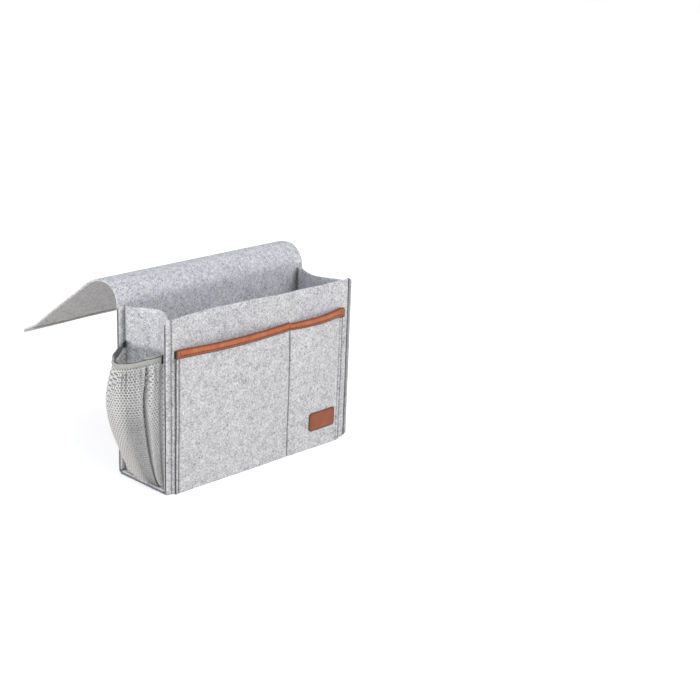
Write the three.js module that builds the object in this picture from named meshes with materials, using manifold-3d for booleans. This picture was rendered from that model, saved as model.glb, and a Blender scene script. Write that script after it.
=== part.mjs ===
// Felt bedside caddy: an open felt box with two front pockets, a mesh pocket on its left side
// and a long flap that goes under a mattress. Millimetres, +Z up, the front faces -Y.
// The origin is the middle of the underside of the box.
import * as THREE from 'three';
import { mergeVertices } from 'three/addons/utils/BufferGeometryUtils.js';
import Module from 'manifold-3d';

const wasm = await Module();
wasm.setup();
const { clamp, degToRad } = THREE.MathUtils;

// Felt box
const PANEL_WIDTH = 340; // front, back and flap, seam margins included
const DEPTH = 105; // outer face of the front to outer face of the back
const FRONT_HEIGHT = 241;
const SIDE_HEIGHT = 238;
const FELT = 3;
const SEAM_MARGIN = 10; // felt left standing outside each side seam
const CORNER_RADIUS = 6;
const FRONT_LEAN = 10; // how far the rim of the front sags into the box
const FRONT_LEAN_START = 130; // height where that sag begins
const FRONT_LEAN_SKEW = 0.75; // below 1 the deepest point lies left of the middle
const SIDE_LEAN = 20; // how far the rim of each gusset folds into the box

// Front pocket
const POCKET_LEFT_MARGIN = 12; // front panel left bare beside the pocket
const POCKET_RIGHT_MARGIN = 21;
const POCKET_HEIGHT = 200;
const RIGHT_POCKET_WIDTH = 104; // from the divider seam to the right edge
const LEFT_POCKET_BULGE = 10;
const RIGHT_POCKET_BULGE = 8;
const POCKET_STITCH_INSET = 5;
const TRIM_HEIGHT = 11;
const TRIM_OVERHANG = 1;
const LEATHER = 1.2;
const LABEL_WIDTH = 51.5;
const LABEL_HEIGHT = 28;
const LABEL_RADIUS = 4.5;
const LABEL_FROM_RIGHT = 11.5;
const LABEL_FROM_BOTTOM = 28;

// Mesh pocket
const MESH = 1;
const MESH_TOP = 183;
const MESH_SEAM_INSET = 1.6; // from the gusset's outer face to the middle of the mesh
const MESH_MOUTH_FRONT = 99; // reach of the mouth's front and rear handles from that seam
const MESH_MOUTH_REAR = 46;
const MESH_MOUTH_REAR_Y = 12;
const MESH_SWELL = 51; // how much further the rear handle reaches where the bag is fullest
const MESH_SWELL_RISE = 1.4; // above 1 the fullest part lies above half height
const MESH_SPRING = 0.25; // below 1 the bag swells out quickly above its base seam
const BAND_BOTTOM = 179.5;
const BAND_TOP = 191;
const BAND = 1;
const BINDING_START = 0.05; // shares of the mouth that the binding leaves bare at its ends
const BINDING_END = 0.93;

// Flap
const RISE_RADIUS = 31; // outer face, from the back panel up to the crest
const FALL_RADIUS = 70; // outer face, from the crest down to the tail
const FALL_ANGLE = degToRad(34.8);
const TAIL_LENGTH = 156;
const END_LENGTH = 35;
const END_LIFT = degToRad(10.8); // the stiff end lies this much flatter than the tail
const GRIP_WIDTH = 30;
const GRIP_THICKNESS = 2;
const GRIP_INSET = 2.5; // from the end of the flap, and from each side

// Sewing
const THREAD_WIDTH = 0.9;
const THREAD_HEIGHT = 0.6;
const SEAM_STITCH_INSET = 8.5; // from the edge of the front and back panels
const BASE_STITCH_INSET = 2.5; // from the edge of the bottom panel
const TRIM_STITCH_INSET = 3;
const STITCH_END = 4; // seams stop this far from the edges they run towards
const GAP = 0.3; // between pieces that touch

// Places that follow from the sizes above
const panelX = PANEL_WIDTH / 2;
const gussetX = panelX - SEAM_MARGIN;
const clearX = gussetX - FELT;
const frontY = -DEPTH / 2;
const flangeY = DEPTH / 2 - FELT - GAP; // faces of the gusset flanges that lie on the panels
const clearY = flangeY - FELT;
const baseTop = FELT + GAP;
const flangeTop = baseTop + FELT;
const pocketLeft = -panelX + POCKET_LEFT_MARGIN;
const pocketRight = panelX - POCKET_RIGHT_MARGIN;
const dividerX = pocketRight - RIGHT_POCKET_WIDTH;
const leftStitchX = pocketLeft + POCKET_STITCH_INSET;
const rightStitchX = pocketRight - POCKET_STITCH_INSET;
const trimBottom = POCKET_HEIGHT - TRIM_HEIGHT;
const hingeRadius = FELT / 2;
const baseAxis = new THREE.Vector2(DEPTH / 2 - hingeRadius, SIDE_HEIGHT + hingeRadius + GAP);
const riseRadius = RISE_RADIUS - hingeRadius;
const fallRadius = FALL_RADIUS - hingeRadius;
const crestAxis = new THREE.Vector2(baseAxis.x + riseRadius, baseAxis.y + riseRadius);

const COLOURS = {
  felt: '#c8c9cd',
  leather: '#bf6a40',
  label: '#9a5f46',
  net: '#bdbab6',
  tape: '#b4b4ae',
  elastic: '#48484a',
  grip: '#9c9a97',
  thread: '#85868a',
};
const ROUGHNESS = { leather: 0.5, label: 0.5 };

const caddy = new THREE.Group();

function addPiece(name, colour, geometry, parent = caddy) {
  const material = new THREE.MeshStandardMaterial({
    color: COLOURS[colour],
    roughness: ROUGHNESS[colour] ?? 0.95,
    metalness: 0,
  });
  const mesh = new THREE.Mesh(geometry, material);
  mesh.name = name;
  parent.add(mesh);
  return mesh;
}

// Evenly spaced grid lines
function steps(from, to, count) {
  return Array.from({ length: count + 1 }, (_, i) => from + ((to - from) * i) / count);
}

// A box with its grid lines at the given stations, each point then put in its place
function gridBlock(xs, ys, zs, place = (x, y, z) => [x, y, z]) {
  const geometry = new THREE.BoxGeometry(1, 1, 1, xs.length - 1, ys.length - 1, zs.length - 1);
  const points = geometry.attributes.position;
  const station = (list, share) => list[Math.round((share + 0.5) * (list.length - 1))];
  for (let i = 0; i < points.count; i += 1) {
    const x = station(xs, points.getX(i));
    const y = station(ys, points.getY(i));
    const z = station(zs, points.getZ(i));
    points.setXYZ(i, ...place(x, y, z));
  }
  return geometry;
}

function toSolid(geometry) {
  const bare = geometry.clone();
  bare.deleteAttribute('normal');
  bare.deleteAttribute('uv');
  const merged = mergeVertices(bare, 1e-4);
  const vertProperties = Float32Array.from(merged.attributes.position.array);
  const triVerts = Uint32Array.from(merged.index.array);
  return new wasm.Manifold(new wasm.Mesh({ numProp: 3, vertProperties, triVerts }));
}

function toGeometry(solid) {
  const mesh = solid.getMesh();
  const geometry = new THREE.BufferGeometry();
  geometry.setAttribute('position', new THREE.BufferAttribute(mesh.vertProperties, 3));
  geometry.setIndex(new THREE.BufferAttribute(mesh.triVerts, 1));
  return geometry;
}

// A rounded rectangle that stands in the XZ plane and reaches from one Y to another
function roundedSlab(x0, x1, z0, z1, radius, y0, y1) {
  const outline = new THREE.Shape();
  outline.absarc(x1 - radius, z0 + radius, radius, -Math.PI / 2, 0);
  outline.absarc(x1 - radius, z1 - radius, radius, 0, Math.PI / 2);
  outline.absarc(x0 + radius, z1 - radius, radius, Math.PI / 2, Math.PI);
  outline.absarc(x0 + radius, z0 + radius, radius, Math.PI, Math.PI * 1.5);
  const slab = new THREE.ExtrudeGeometry(outline, { depth: y1 - y0, bevelEnabled: false, curveSegments: 5 });
  return slab.rotateX(Math.PI / 2).translate(0, y1, 0);
}

// An outline drawn in the YZ plane, carried across the caddy
function crossStrip(outline, width) {
  const strip = new THREE.ExtrudeGeometry(outline, { depth: width, bevelEnabled: false, curveSegments: 12 });
  const yzx = new THREE.Matrix4().makeBasis(
    new THREE.Vector3(0, 1, 0),
    new THREE.Vector3(0, 0, 1),
    new THREE.Vector3(1, 0, 0),
  );
  return strip.applyMatrix4(yzx).translate(-width / 2, 0, 0);
}

// How far the front panel sags into the box
function frontLean(x, z) {
  const across = clamp((x + clearX) / (2 * clearX), 0, 1) ** FRONT_LEAN_SKEW;
  const up = Math.max(0, z - FRONT_LEAN_START) / (FRONT_HEIGHT - FRONT_LEAN_START);
  return FRONT_LEAN * Math.sin(Math.PI * across) * up ** 2;
}

// How far a gusset folds into the box
function sideLean(y, z) {
  const across = clamp(y / clearY, -1, 1);
  return (SIDE_LEAN / 2) * (1 + Math.cos(Math.PI * across)) * (z / SIDE_HEIGHT) ** 1.5;
}

// How far each front pocket stands off between the seams that hold it
function pocketBulge(x, z) {
  const inLeft = x < dividerX;
  const start = inLeft ? leftStitchX : dividerX;
  const end = inLeft ? dividerX : rightStitchX;
  const depth = inLeft ? LEFT_POCKET_BULGE : RIGHT_POCKET_BULGE;
  const across = clamp((x - start) / (end - start), 0, 1);
  return depth * Math.sin(Math.PI * across) * (z / POCKET_HEIGHT) ** 1.5;
}

// Room behind the pocket for the trim's inner leaf, opening steadily from the base
function pocketStandoff(z) {
  return GAP + (LEATHER + GAP) * Math.min(1, z / trimBottom);
}

// Places on the front panel and on the pocket, with y counted from the face that carries them
function onFront(x, y, z) {
  return [x, frontY + y + frontLean(x, z), z];
}

function onPocket(x, y, z) {
  return [x, frontY + y + frontLean(x, z) - pocketBulge(x, z) - pocketStandoff(z), z];
}

// Panels of the box
const frontHeights = [...steps(0, FRONT_LEAN_START, 4), ...steps(FRONT_LEAN_START, FRONT_HEIGHT, 8).slice(1)];
const frontWidths = [-panelX, ...steps(-clearX, clearX, 20), panelX];
const frontSheet = toSolid(gridBlock(frontWidths, [0, FELT], frontHeights, onFront));
const frontLimit = toSolid(
  roundedSlab(-panelX, panelX, 0, FRONT_HEIGHT, CORNER_RADIUS, frontY - FELT, frontY + FELT * 2 + FRONT_LEAN),
);
addPiece('front_panel', 'felt', toGeometry(frontSheet.intersect(frontLimit)));

const bottom = new THREE.BoxGeometry(PANEL_WIDTH, 2 * flangeY, FELT);
addPiece('bottom_panel', 'felt', bottom).position.z = FELT / 2;

// The back's lower corners are rounded column by column, which leaves one flat face between its seams
const cornerX = panelX - CORNER_RADIUS;

function roundFoot(x, y, z) {
  const past = Math.max(0, Math.abs(x) - cornerX);
  const foot = CORNER_RADIUS - Math.sqrt(Math.max(0, CORNER_RADIUS ** 2 - past ** 2));
  return [x, y, Math.max(z, foot)];
}

const backWidths = [...steps(-panelX, -cornerX, 4), -clearX, clearX, ...steps(cornerX, panelX, 4)];
const backDepths = [DEPTH / 2 - FELT, DEPTH / 2];
addPiece('back_panel', 'felt', gridBlock(backWidths, backDepths, [0, SIDE_HEIGHT], roundFoot));

// Gussets: a wall with its front, rear and lower edges turned out over the panels
function gusset(side) {
  const across = (near, far) => [side * near, side * far].sort((a, b) => a - b);
  const heights = steps(baseTop, SIDE_HEIGHT, 8);
  const depths = [-flangeY, ...steps(-clearY, clearY, 12), flangeY];
  const fold = (x, y, z) => [x - side * sideLean(y, z), y, z];
  const wall = toSolid(gridBlock(across(clearX, gussetX), depths, heights, fold));
  const flangeX = across(clearX, panelX);
  const front = toSolid(gridBlock(flangeX, [-flangeY, -clearY], [baseTop, SIDE_HEIGHT]));
  const rear = toSolid(gridBlock(flangeX, [clearY, flangeY], [baseTop, SIDE_HEIGHT]));
  const base = toSolid(gridBlock(flangeX, [-flangeY, flangeY], [baseTop, flangeTop]));
  const limit = toSolid(
    roundedSlab(-panelX, panelX, -CORNER_RADIUS, SIDE_HEIGHT, CORNER_RADIUS, -DEPTH / 2, DEPTH / 2),
  );
  return toGeometry(wall.add(front).add(rear).add(base).intersect(limit));
}

addPiece('left_gusset', 'felt', gusset(-1));
addPiece('right_gusset', 'felt', gusset(1));

// Front pocket, its leather trim and the bare label
const pocketWidths = [
  pocketLeft,
  ...steps(leftStitchX, dividerX, 14),
  ...steps(dividerX, rightStitchX, 8).slice(1),
  pocketRight,
];
const pocketTop = POCKET_HEIGHT - LEATHER - GAP;
const pocketHeights = [...steps(0, trimBottom, 9), pocketTop];
addPiece('front_pocket', 'felt', gridBlock(pocketWidths, [-FELT, 0], pocketHeights, onPocket));

const trimWidths = [pocketLeft - TRIM_OVERHANG, ...pocketWidths.slice(1, -1), pocketRight + TRIM_OVERHANG];
const trimOuter = [-FELT - GAP - LEATHER, GAP + LEATHER];
const trimInner = [-FELT - GAP, GAP];
const slotWidths = [pocketLeft - 2 * TRIM_OVERHANG, ...trimWidths, pocketRight + 2 * TRIM_OVERHANG];
const trimBlock = toSolid(gridBlock(trimWidths, trimOuter, [trimBottom, POCKET_HEIGHT], onPocket));
const slotHeights = [trimBottom - TRIM_HEIGHT, trimBottom, POCKET_HEIGHT - LEATHER];
const trimSlot = toSolid(gridBlock(slotWidths, trimInner, slotHeights, onPocket));
addPiece('pocket_trim', 'leather', toGeometry(trimBlock.subtract(trimSlot)));

const labelRight = pocketRight - LABEL_FROM_RIGHT;
const labelLeft = labelRight - LABEL_WIDTH;
const labelTop = LABEL_FROM_BOTTOM + LABEL_HEIGHT;
const labelY = [-FELT - GAP - LEATHER, -FELT - GAP];
const labelSheet = toSolid(
  gridBlock(steps(labelLeft, labelRight, 8), labelY, steps(LABEL_FROM_BOTTOM, labelTop, 3), onPocket),
);
const labelLimit = toSolid(
  roundedSlab(labelLeft, labelRight, LABEL_FROM_BOTTOM, labelTop, LABEL_RADIUS, frontY - DEPTH / 2, frontY),
);
addPiece('label_patch', 'label', toGeometry(labelSheet.intersect(labelLimit)));

// Mesh pocket: a curve in plan at each height, from the front flange round to the rear flange,
// with x as the distance out from the side seam. It springs out of the base seam and swells
// towards the rear below the mouth.
const meshX = gussetX + MESH_SEAM_INSET;
const meshEndY = clearY - GAP - MESH / 2;

function meshCurve(z) {
  const up = clamp((z - flangeTop - GAP) / (BAND_BOTTOM - flangeTop - GAP), 0, 1);
  const fullness = up ** MESH_SPRING;
  const rear = MESH_MOUTH_REAR + MESH_SWELL * Math.sin(Math.PI * up ** MESH_SWELL_RISE);
  return new THREE.CubicBezierCurve(
    new THREE.Vector2(0, -meshEndY),
    new THREE.Vector2(MESH_MOUTH_FRONT * fullness, -meshEndY + MESH),
    new THREE.Vector2(rear * fullness, MESH_MOUTH_REAR_Y),
    new THREE.Vector2(0, meshEndY),
  );
}

function onMesh(share, outward, z) {
  const curve = meshCurve(z);
  const point = curve.getPoint(share);
  const along = curve.getTangent(share);
  return [-meshX - point.x - outward * along.y, point.y - outward * along.x, z];
}

const meshShares = steps(0, 1, 22);
const meshHeights = [...steps(flangeTop + GAP, BAND_BOTTOM, 11), MESH_TOP];
const bandFace = MESH / 2 + GAP;
const bandHeights = [BAND_BOTTOM, BAND_TOP];
const underBinding = meshShares.filter((share) => share > BINDING_START && share < BINDING_END);
const bindingShares = [BINDING_START, ...underBinding, BINDING_END];
addPiece('mesh_pocket', 'net', gridBlock(meshShares, [-MESH / 2, MESH / 2], meshHeights, onMesh));
addPiece('pocket_elastic', 'elastic', gridBlock(meshShares, [-bandFace - BAND, -bandFace], bandHeights, onMesh));
addPiece('pocket_binding', 'tape', gridBlock(bindingShares, [bandFace, bandFace + BAND], bandHeights, onMesh));

// Flap: the neck turns on the rim of the back panel and the tail on the crest of the neck.
// Each moving edge is half round about its fold, and the edge before it stops short.
const neck = new THREE.Shape();
const neckEnd = Math.PI / 2 + (hingeRadius + GAP) / riseRadius;
const neckCentre = [crestAxis.x, baseAxis.y];
neck.absarc(...neckCentre, riseRadius + hingeRadius, Math.PI, neckEnd, true);
neck.absarc(...neckCentre, riseRadius - hingeRadius, neckEnd, Math.PI, false);
neck.absarc(baseAxis.x, baseAxis.y, hingeRadius, 0, Math.PI, true);
addPiece('flap_neck', 'felt', crossStrip(neck, PANEL_WIDTH));

const endSlope = FALL_ANGLE - END_LIFT;
const ahead = (slope, length) => new THREE.Vector2(Math.cos(slope), -Math.sin(slope)).multiplyScalar(length);
const above = (slope, length) => new THREE.Vector2(Math.sin(slope), Math.cos(slope)).multiplyScalar(length);
const fallCentre = new THREE.Vector2(crestAxis.x, crestAxis.y - fallRadius);
const fallEnd = fallCentre.clone().add(above(FALL_ANGLE, fallRadius));
const bend = fallEnd.clone().add(ahead(FALL_ANGLE, TAIL_LENGTH));
const tip = bend.clone().add(ahead(endSlope, END_LENGTH - hingeRadius));
const mitre = above((FALL_ANGLE + endSlope) / 2, hingeRadius / Math.cos(END_LIFT / 2));
const upperBend = bend.clone().add(mitre);
const lowerBend = bend.clone().sub(mitre);
const fallStop = Math.PI / 2 - FALL_ANGLE;
const tail = new THREE.Shape();
tail.absarc(fallCentre.x, fallCentre.y, fallRadius + hingeRadius, Math.PI / 2, fallStop, true);
tail.lineTo(upperBend.x, upperBend.y);
tail.absarc(tip.x, tip.y, hingeRadius, Math.PI / 2 - endSlope, -Math.PI / 2 - endSlope, true);
tail.lineTo(lowerBend.x, lowerBend.y);
tail.absarc(fallCentre.x, fallCentre.y, fallRadius - hingeRadius, fallStop, Math.PI / 2, false);
tail.absarc(crestAxis.x, crestAxis.y, hingeRadius, -Math.PI / 2, Math.PI / 2, true);
addPiece('flap_tail', 'felt', crossStrip(tail, PANEL_WIDTH));

// The stiff end: a grip strip under it, held by two seams that show on top
const flapEnd = new THREE.Group();
flapEnd.position.set(0, bend.x, bend.y);
flapEnd.rotation.x = -endSlope;
caddy.add(flapEnd);
const gripMiddle = END_LENGTH - GRIP_INSET - GRIP_WIDTH / 2;
const gripLength = PANEL_WIDTH - 2 * GRIP_INSET;
const grip = new THREE.BoxGeometry(gripLength, GRIP_WIDTH, GRIP_THICKNESS);
addPiece('flap_grip_strip', 'grip', grip, flapEnd).position.set(
  0,
  gripMiddle,
  -hingeRadius - GAP - GRIP_THICKNESS / 2,
);
for (const [name, side] of [['grip_thread_inner', -1], ['grip_thread_outer', 1]]) {
  const thread = new THREE.BoxGeometry(gripLength - 2 * STITCH_END, THREAD_WIDTH, THREAD_HEIGHT);
  const offset = GRIP_WIDTH / 2 - TRIM_STITCH_INSET;
  const lift = hingeRadius + GAP + THREAD_HEIGHT / 2;
  addPiece(name, 'thread', thread, flapEnd).position.set(0, gripMiddle + side * offset, lift);
}

// Seams of the box and of the front pocket
const threadXs = (x) => [x - THREAD_WIDTH / 2, x + THREAD_WIDTH / 2];
const outerThread = [-GAP - THREAD_HEIGHT, -GAP];
const seamX = panelX - SEAM_STITCH_INSET;
const baseX = panelX - BASE_STITCH_INSET;
const backFace = DEPTH / 2 + GAP;
for (const [side, sign] of [['left', -1], ['right', 1]]) {
  const xs = threadXs(sign * seamX);
  const frontRun = [STITCH_END, FRONT_HEIGHT - STITCH_END];
  const backRun = [STITCH_END, SIDE_HEIGHT - STITCH_END];
  const baseRun = [-clearY + STITCH_END, clearY - STITCH_END];
  const baseLift = [flangeTop + GAP, flangeTop + GAP + THREAD_HEIGHT];
  addPiece(`front_thread_${side}`, 'thread', gridBlock(xs, outerThread, frontRun, onFront));
  addPiece(`back_thread_${side}`, 'thread', gridBlock(xs, [backFace, backFace + THREAD_HEIGHT], backRun));
  addPiece(`base_thread_${side}`, 'thread', gridBlock(threadXs(sign * baseX), baseRun, baseLift));
}

const pocketThread = [-FELT - GAP - THREAD_HEIGHT, -FELT - GAP];
const pocketRun = [STITCH_END, ...pocketHeights.slice(1, -2), trimBottom - GAP];
const pocketSeams = { left: leftStitchX, middle: dividerX, right: rightStitchX };
for (const [side, x] of Object.entries(pocketSeams)) {
  const pinned = (px, y, z) => [px, onPocket(x, y, z)[1], z];
  addPiece(`pocket_thread_${side}`, 'thread', gridBlock(threadXs(x), pocketThread, pocketRun, pinned));
}

const trimThread = pocketThread.map((y) => y - GAP - LEATHER);
const trimThreadZ = [trimBottom + TRIM_STITCH_INSET, trimBottom + TRIM_STITCH_INSET + THREAD_WIDTH];
addPiece('trim_thread', 'thread', gridBlock(pocketWidths.slice(1, -1), trimThread, trimThreadZ, onPocket));

export default caddy;
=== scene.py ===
# %% [markdown]
# # Dressing a felt bedside caddy
# The caddy is an open box sewn from 3 mm felt. Two pockets with a leather edging sit on its front, a bag of
# knitted net hangs on its left side, and a long flap goes from the back of the box under a mattress. The
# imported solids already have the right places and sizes. Here each soft piece gets the shape of sewn cloth:
# a flat cut with a rolled rim, bent into place, with seams that pull the felt in.

# %% Load the frame
import math

import bmesh
import bpy
from mathutils import Matrix, Vector, noise


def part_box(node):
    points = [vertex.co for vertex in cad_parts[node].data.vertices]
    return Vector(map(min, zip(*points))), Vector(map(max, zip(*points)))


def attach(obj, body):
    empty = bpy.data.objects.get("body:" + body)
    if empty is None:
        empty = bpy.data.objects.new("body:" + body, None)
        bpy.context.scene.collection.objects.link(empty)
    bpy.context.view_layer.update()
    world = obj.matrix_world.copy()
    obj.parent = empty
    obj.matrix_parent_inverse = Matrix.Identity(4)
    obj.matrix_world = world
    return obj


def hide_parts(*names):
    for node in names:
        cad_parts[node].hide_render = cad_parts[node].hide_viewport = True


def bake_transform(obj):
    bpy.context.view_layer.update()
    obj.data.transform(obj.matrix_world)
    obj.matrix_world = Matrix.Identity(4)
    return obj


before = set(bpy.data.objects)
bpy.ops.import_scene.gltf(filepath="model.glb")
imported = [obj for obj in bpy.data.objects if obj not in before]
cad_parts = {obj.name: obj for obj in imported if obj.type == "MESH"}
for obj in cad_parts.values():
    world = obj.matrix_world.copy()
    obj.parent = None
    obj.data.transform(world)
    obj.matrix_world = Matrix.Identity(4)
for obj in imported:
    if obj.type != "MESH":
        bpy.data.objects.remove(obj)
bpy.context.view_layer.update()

# %% [markdown]
# ## Camera
# The picture looks at the left front corner from a little above. The place, the turn and the focal length
# come from fitting a perspective camera to the corners of the box, its pockets and its flap. A camera looks
# down its own -Z, so it is first rolled, then raised from straight down to its pitch, then turned.

# %% Camera
MM = 0.001  # the caddy is measured in millimetres and Blender works in metres
CAMERA_PLACE = (-1194.6, -1329.6, 723.3)
CAMERA_TURN = math.radians(46.93)
CAMERA_PITCH = math.radians(17.49)
CAMERA_ROLL = math.radians(2.27)
FOCAL_SHARE = 1336.6 / 700  # focal length over the width of the image

scene = bpy.context.scene
camera = bpy.data.objects.new("camera", bpy.data.cameras.new("camera"))
scene.collection.objects.link(camera)
camera.data.lens = FOCAL_SHARE * camera.data.sensor_width
camera.matrix_world = (
    Matrix.Translation(Vector(CAMERA_PLACE) * MM)
    @ Matrix.Rotation(-CAMERA_TURN, 4, "Z")
    @ Matrix.Rotation(math.pi / 2 - CAMERA_PITCH, 4, "X")
    @ Matrix.Rotation(CAMERA_ROLL, 4, "Z")
)
scene.camera = camera
print("lens:", round(camera.data.lens, 1), "mm")

# %% [markdown]
# ## Studio
# The caddy stands on a white floor in even light, so its shadow is faint. The floor is a wide grid. The
# world is a pale sky that lights the felt from all round. A wide softbox in front lights the front and the
# inside of the back, and a low one at the left lights the net. The floor throws back a warm light, which
# tints the shade under the flap. To the camera and to reflections the sky and the unshaded floor are plain
# white.

# %% Colours and nodes
def linear(colour):
    """An sRGB colour such as #c0683e as the linear RGBA that shaders take."""
    shares = [int(colour[i : i + 2], 16) / 255 for i in (1, 3, 5)]
    return [c / 12.92 if c <= 0.04045 else ((c + 0.055) / 1.055) ** 2.4 for c in shares] + [1.0]


def add_node(tree, kind, sockets=None, stops=None, **options):
    """Adds a shader node. A socket takes a value or another node's output, stops are a ramp's colours."""
    node = tree.nodes.new("ShaderNode" + kind)
    for option, value in options.items():
        setattr(node, option, value)
    for socket, value in (sockets or {}).items():
        if isinstance(value, bpy.types.NodeSocket):
            tree.links.new(value, node.inputs[socket])
        else:
            node.inputs[socket].default_value = value
    if stops:
        ends = node.color_ramp.elements
        for end, (place, colour) in ((ends[0], stops[0]), (ends[1], stops[-1])):
            end.position = place
            end.color = linear(colour)
        for place, colour in stops[1:-1]:
            ends.new(place).color = linear(colour)
    return node


def new_material(name):
    """An empty material and its node tree."""
    material = bpy.data.materials.new(name)
    material.use_nodes = True
    material.node_tree.nodes.clear()
    return material, material.node_tree


def seen_directly(tree):
    """1 for rays that show a background: from the camera, off gloss and through glass."""
    rays = add_node(tree, "LightPath").outputs
    shows = rays["Is Camera Ray"]
    for ray in ("Is Glossy Ray", "Is Transmission Ray"):
        shows = add_node(tree, "Math", {0: shows, 1: rays[ray]}, operation="MAXIMUM").outputs[0]
    return shows


scene.view_settings.view_transform = "Standard"
print("view transform:", scene.view_settings.view_transform)

# %% Floor
FLOOR_HALF = 12.0
FLOOR_GLOW = 0.5  # lifts the lit floor to white for the camera, its shadow stays
WARM_WHITE = "#f6efe6"  # what the floor throws back
SHOWN_WHITE = "#f4f4f4"  # what the camera sees of it

floor_mesh = bmesh.new()
bmesh.ops.create_grid(floor_mesh, x_segments=1, y_segments=1, size=FLOOR_HALF)
floor = bpy.data.objects.new("floor", bpy.data.meshes.new("floor"))
floor_mesh.to_mesh(floor.data)
floor_mesh.free()
scene.collection.objects.link(floor)

floor_paint, tree = new_material("matt white paint")
seen = seen_directly(tree)
white = add_node(tree, "Mix", {0: seen, 6: linear(WARM_WHITE), 7: linear(SHOWN_WHITE)}, data_type="RGBA")
paint = add_node(tree, "BsdfDiffuse", {"Color": white.outputs[2], "Roughness": 0.5})
glow_share = add_node(tree, "Math", {0: seen, 1: FLOOR_GLOW}, operation="MULTIPLY")
glow = add_node(tree, "Emission", {"Strength": glow_share.outputs[0]})
both = add_node(tree, "AddShader", {0: paint.outputs[0], 1: glow.outputs[0]})
add_node(tree, "OutputMaterial", {"Surface": both.outputs[0]})
floor.data.materials.append(floor_paint)
print("floor:", 2 * FLOOR_HALF, "m wide")

# %% Sky and softboxes
SKY_LIGHT = 0.7
SOFTBOXES = {  # place, width, height and power of each lamp
    "softbox_front": (Vector((0.4, -1.9, 1.9)), 2.4, 1.4, 22.0),
    "softbox_side": (Vector((-2.4, -0.3, 0.13)), 2.4, 0.24, 21.0),
}
LAMP_AIM = Vector((0, 0, 0.12))

world = bpy.data.worlds.new("studio")
world.use_nodes = True
world.node_tree.nodes.clear()
tree = world.node_tree
sky = add_node(tree, "Background", {"Color": linear("#f8faff"), "Strength": SKY_LIGHT})
backdrop = add_node(tree, "Background", {"Color": linear("#ffffff"), "Strength": 1.0})
shown = add_node(tree, "MixShader", {0: seen_directly(tree), 1: sky.outputs[0], 2: backdrop.outputs[0]})
add_node(tree, "OutputWorld", {"Surface": shown.outputs[0]})
scene.world = world

for name, (place, width, height, power) in SOFTBOXES.items():
    softbox = bpy.data.objects.new(name, bpy.data.lights.new(name, "AREA"))
    softbox.data.energy = power
    softbox.data.shape = "RECTANGLE"
    softbox.data.size = width
    softbox.data.size_y = height
    softbox.location = place
    softbox.rotation_euler = (LAMP_AIM - place).to_track_quat("-Z", "Y").to_euler()
    scene.collection.objects.link(softbox)
print("sky", SKY_LIGHT, "lamps", list(SOFTBOXES))

# %% [markdown]
# ## Heathered needle felt
# Needle felt is a mat of short polyester fibres punched together, so it has no threads and no weave. Light
# and dark fibres are mixed before punching, which gives the eye grey flecks, a few millimetres long and
# lying every way, on softer clouds. A noise that is stretched along one direction draws tufts of fibre, and
# three of them, turned against each other, leave no grain. Every felt piece keeps its flat place on the
# cloth as the attribute cloth, so the flecks bend with the felt and don't slide when the flap moves. Shade is
# painted into the felt: in the seams, in the corners and creases inside the box, on the right margin, on the
# ends of the pockets and where a cut edge lies on the next layer. How much painted shade a point shows is
# kept as the attribute edge.

# %% Felt material
TUFT_LENGTH = 8.0  # single fibres are 0.02 mm thick, so curled tufts of them are drawn
TUFT_WIDTH = 2.6
TUFT_TURNS = (20, 80, 140)  # in degrees
SPECK_SIZE = 1.7
CLOUD_SIZE = 16.0
FUZZ_SIZE = 0.6
NAP_HEIGHT = 0.6
GREY_START = -0.18  # tufts, specks and clouds add up from here, each by its share
TUFT_SHARE = 0.38
SPECK_SHARE = 0.46
CLOUD_SHARE = 0.14
FELT_TONES = [(0.31, "#85868c"), (0.50, "#d2d3d7"), (0.67, "#f8f9fb")]
# tone of the painted shade in seams, corners, creases and where felt lies on felt
FELT_PAINTED_SHADE = "#38383a"


def cloth_material(name):
    """An empty material, its node tree, and the attributes cloth and edge of its piece; edge holds painted
    shade and dark edges.
    """
    material, tree = new_material(name)
    cloth = add_node(tree, "Attribute", attribute_name="cloth").outputs["Vector"]
    edge = add_node(tree, "Attribute", attribute_name="edge").outputs["Fac"]
    return material, tree, cloth, edge


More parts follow.
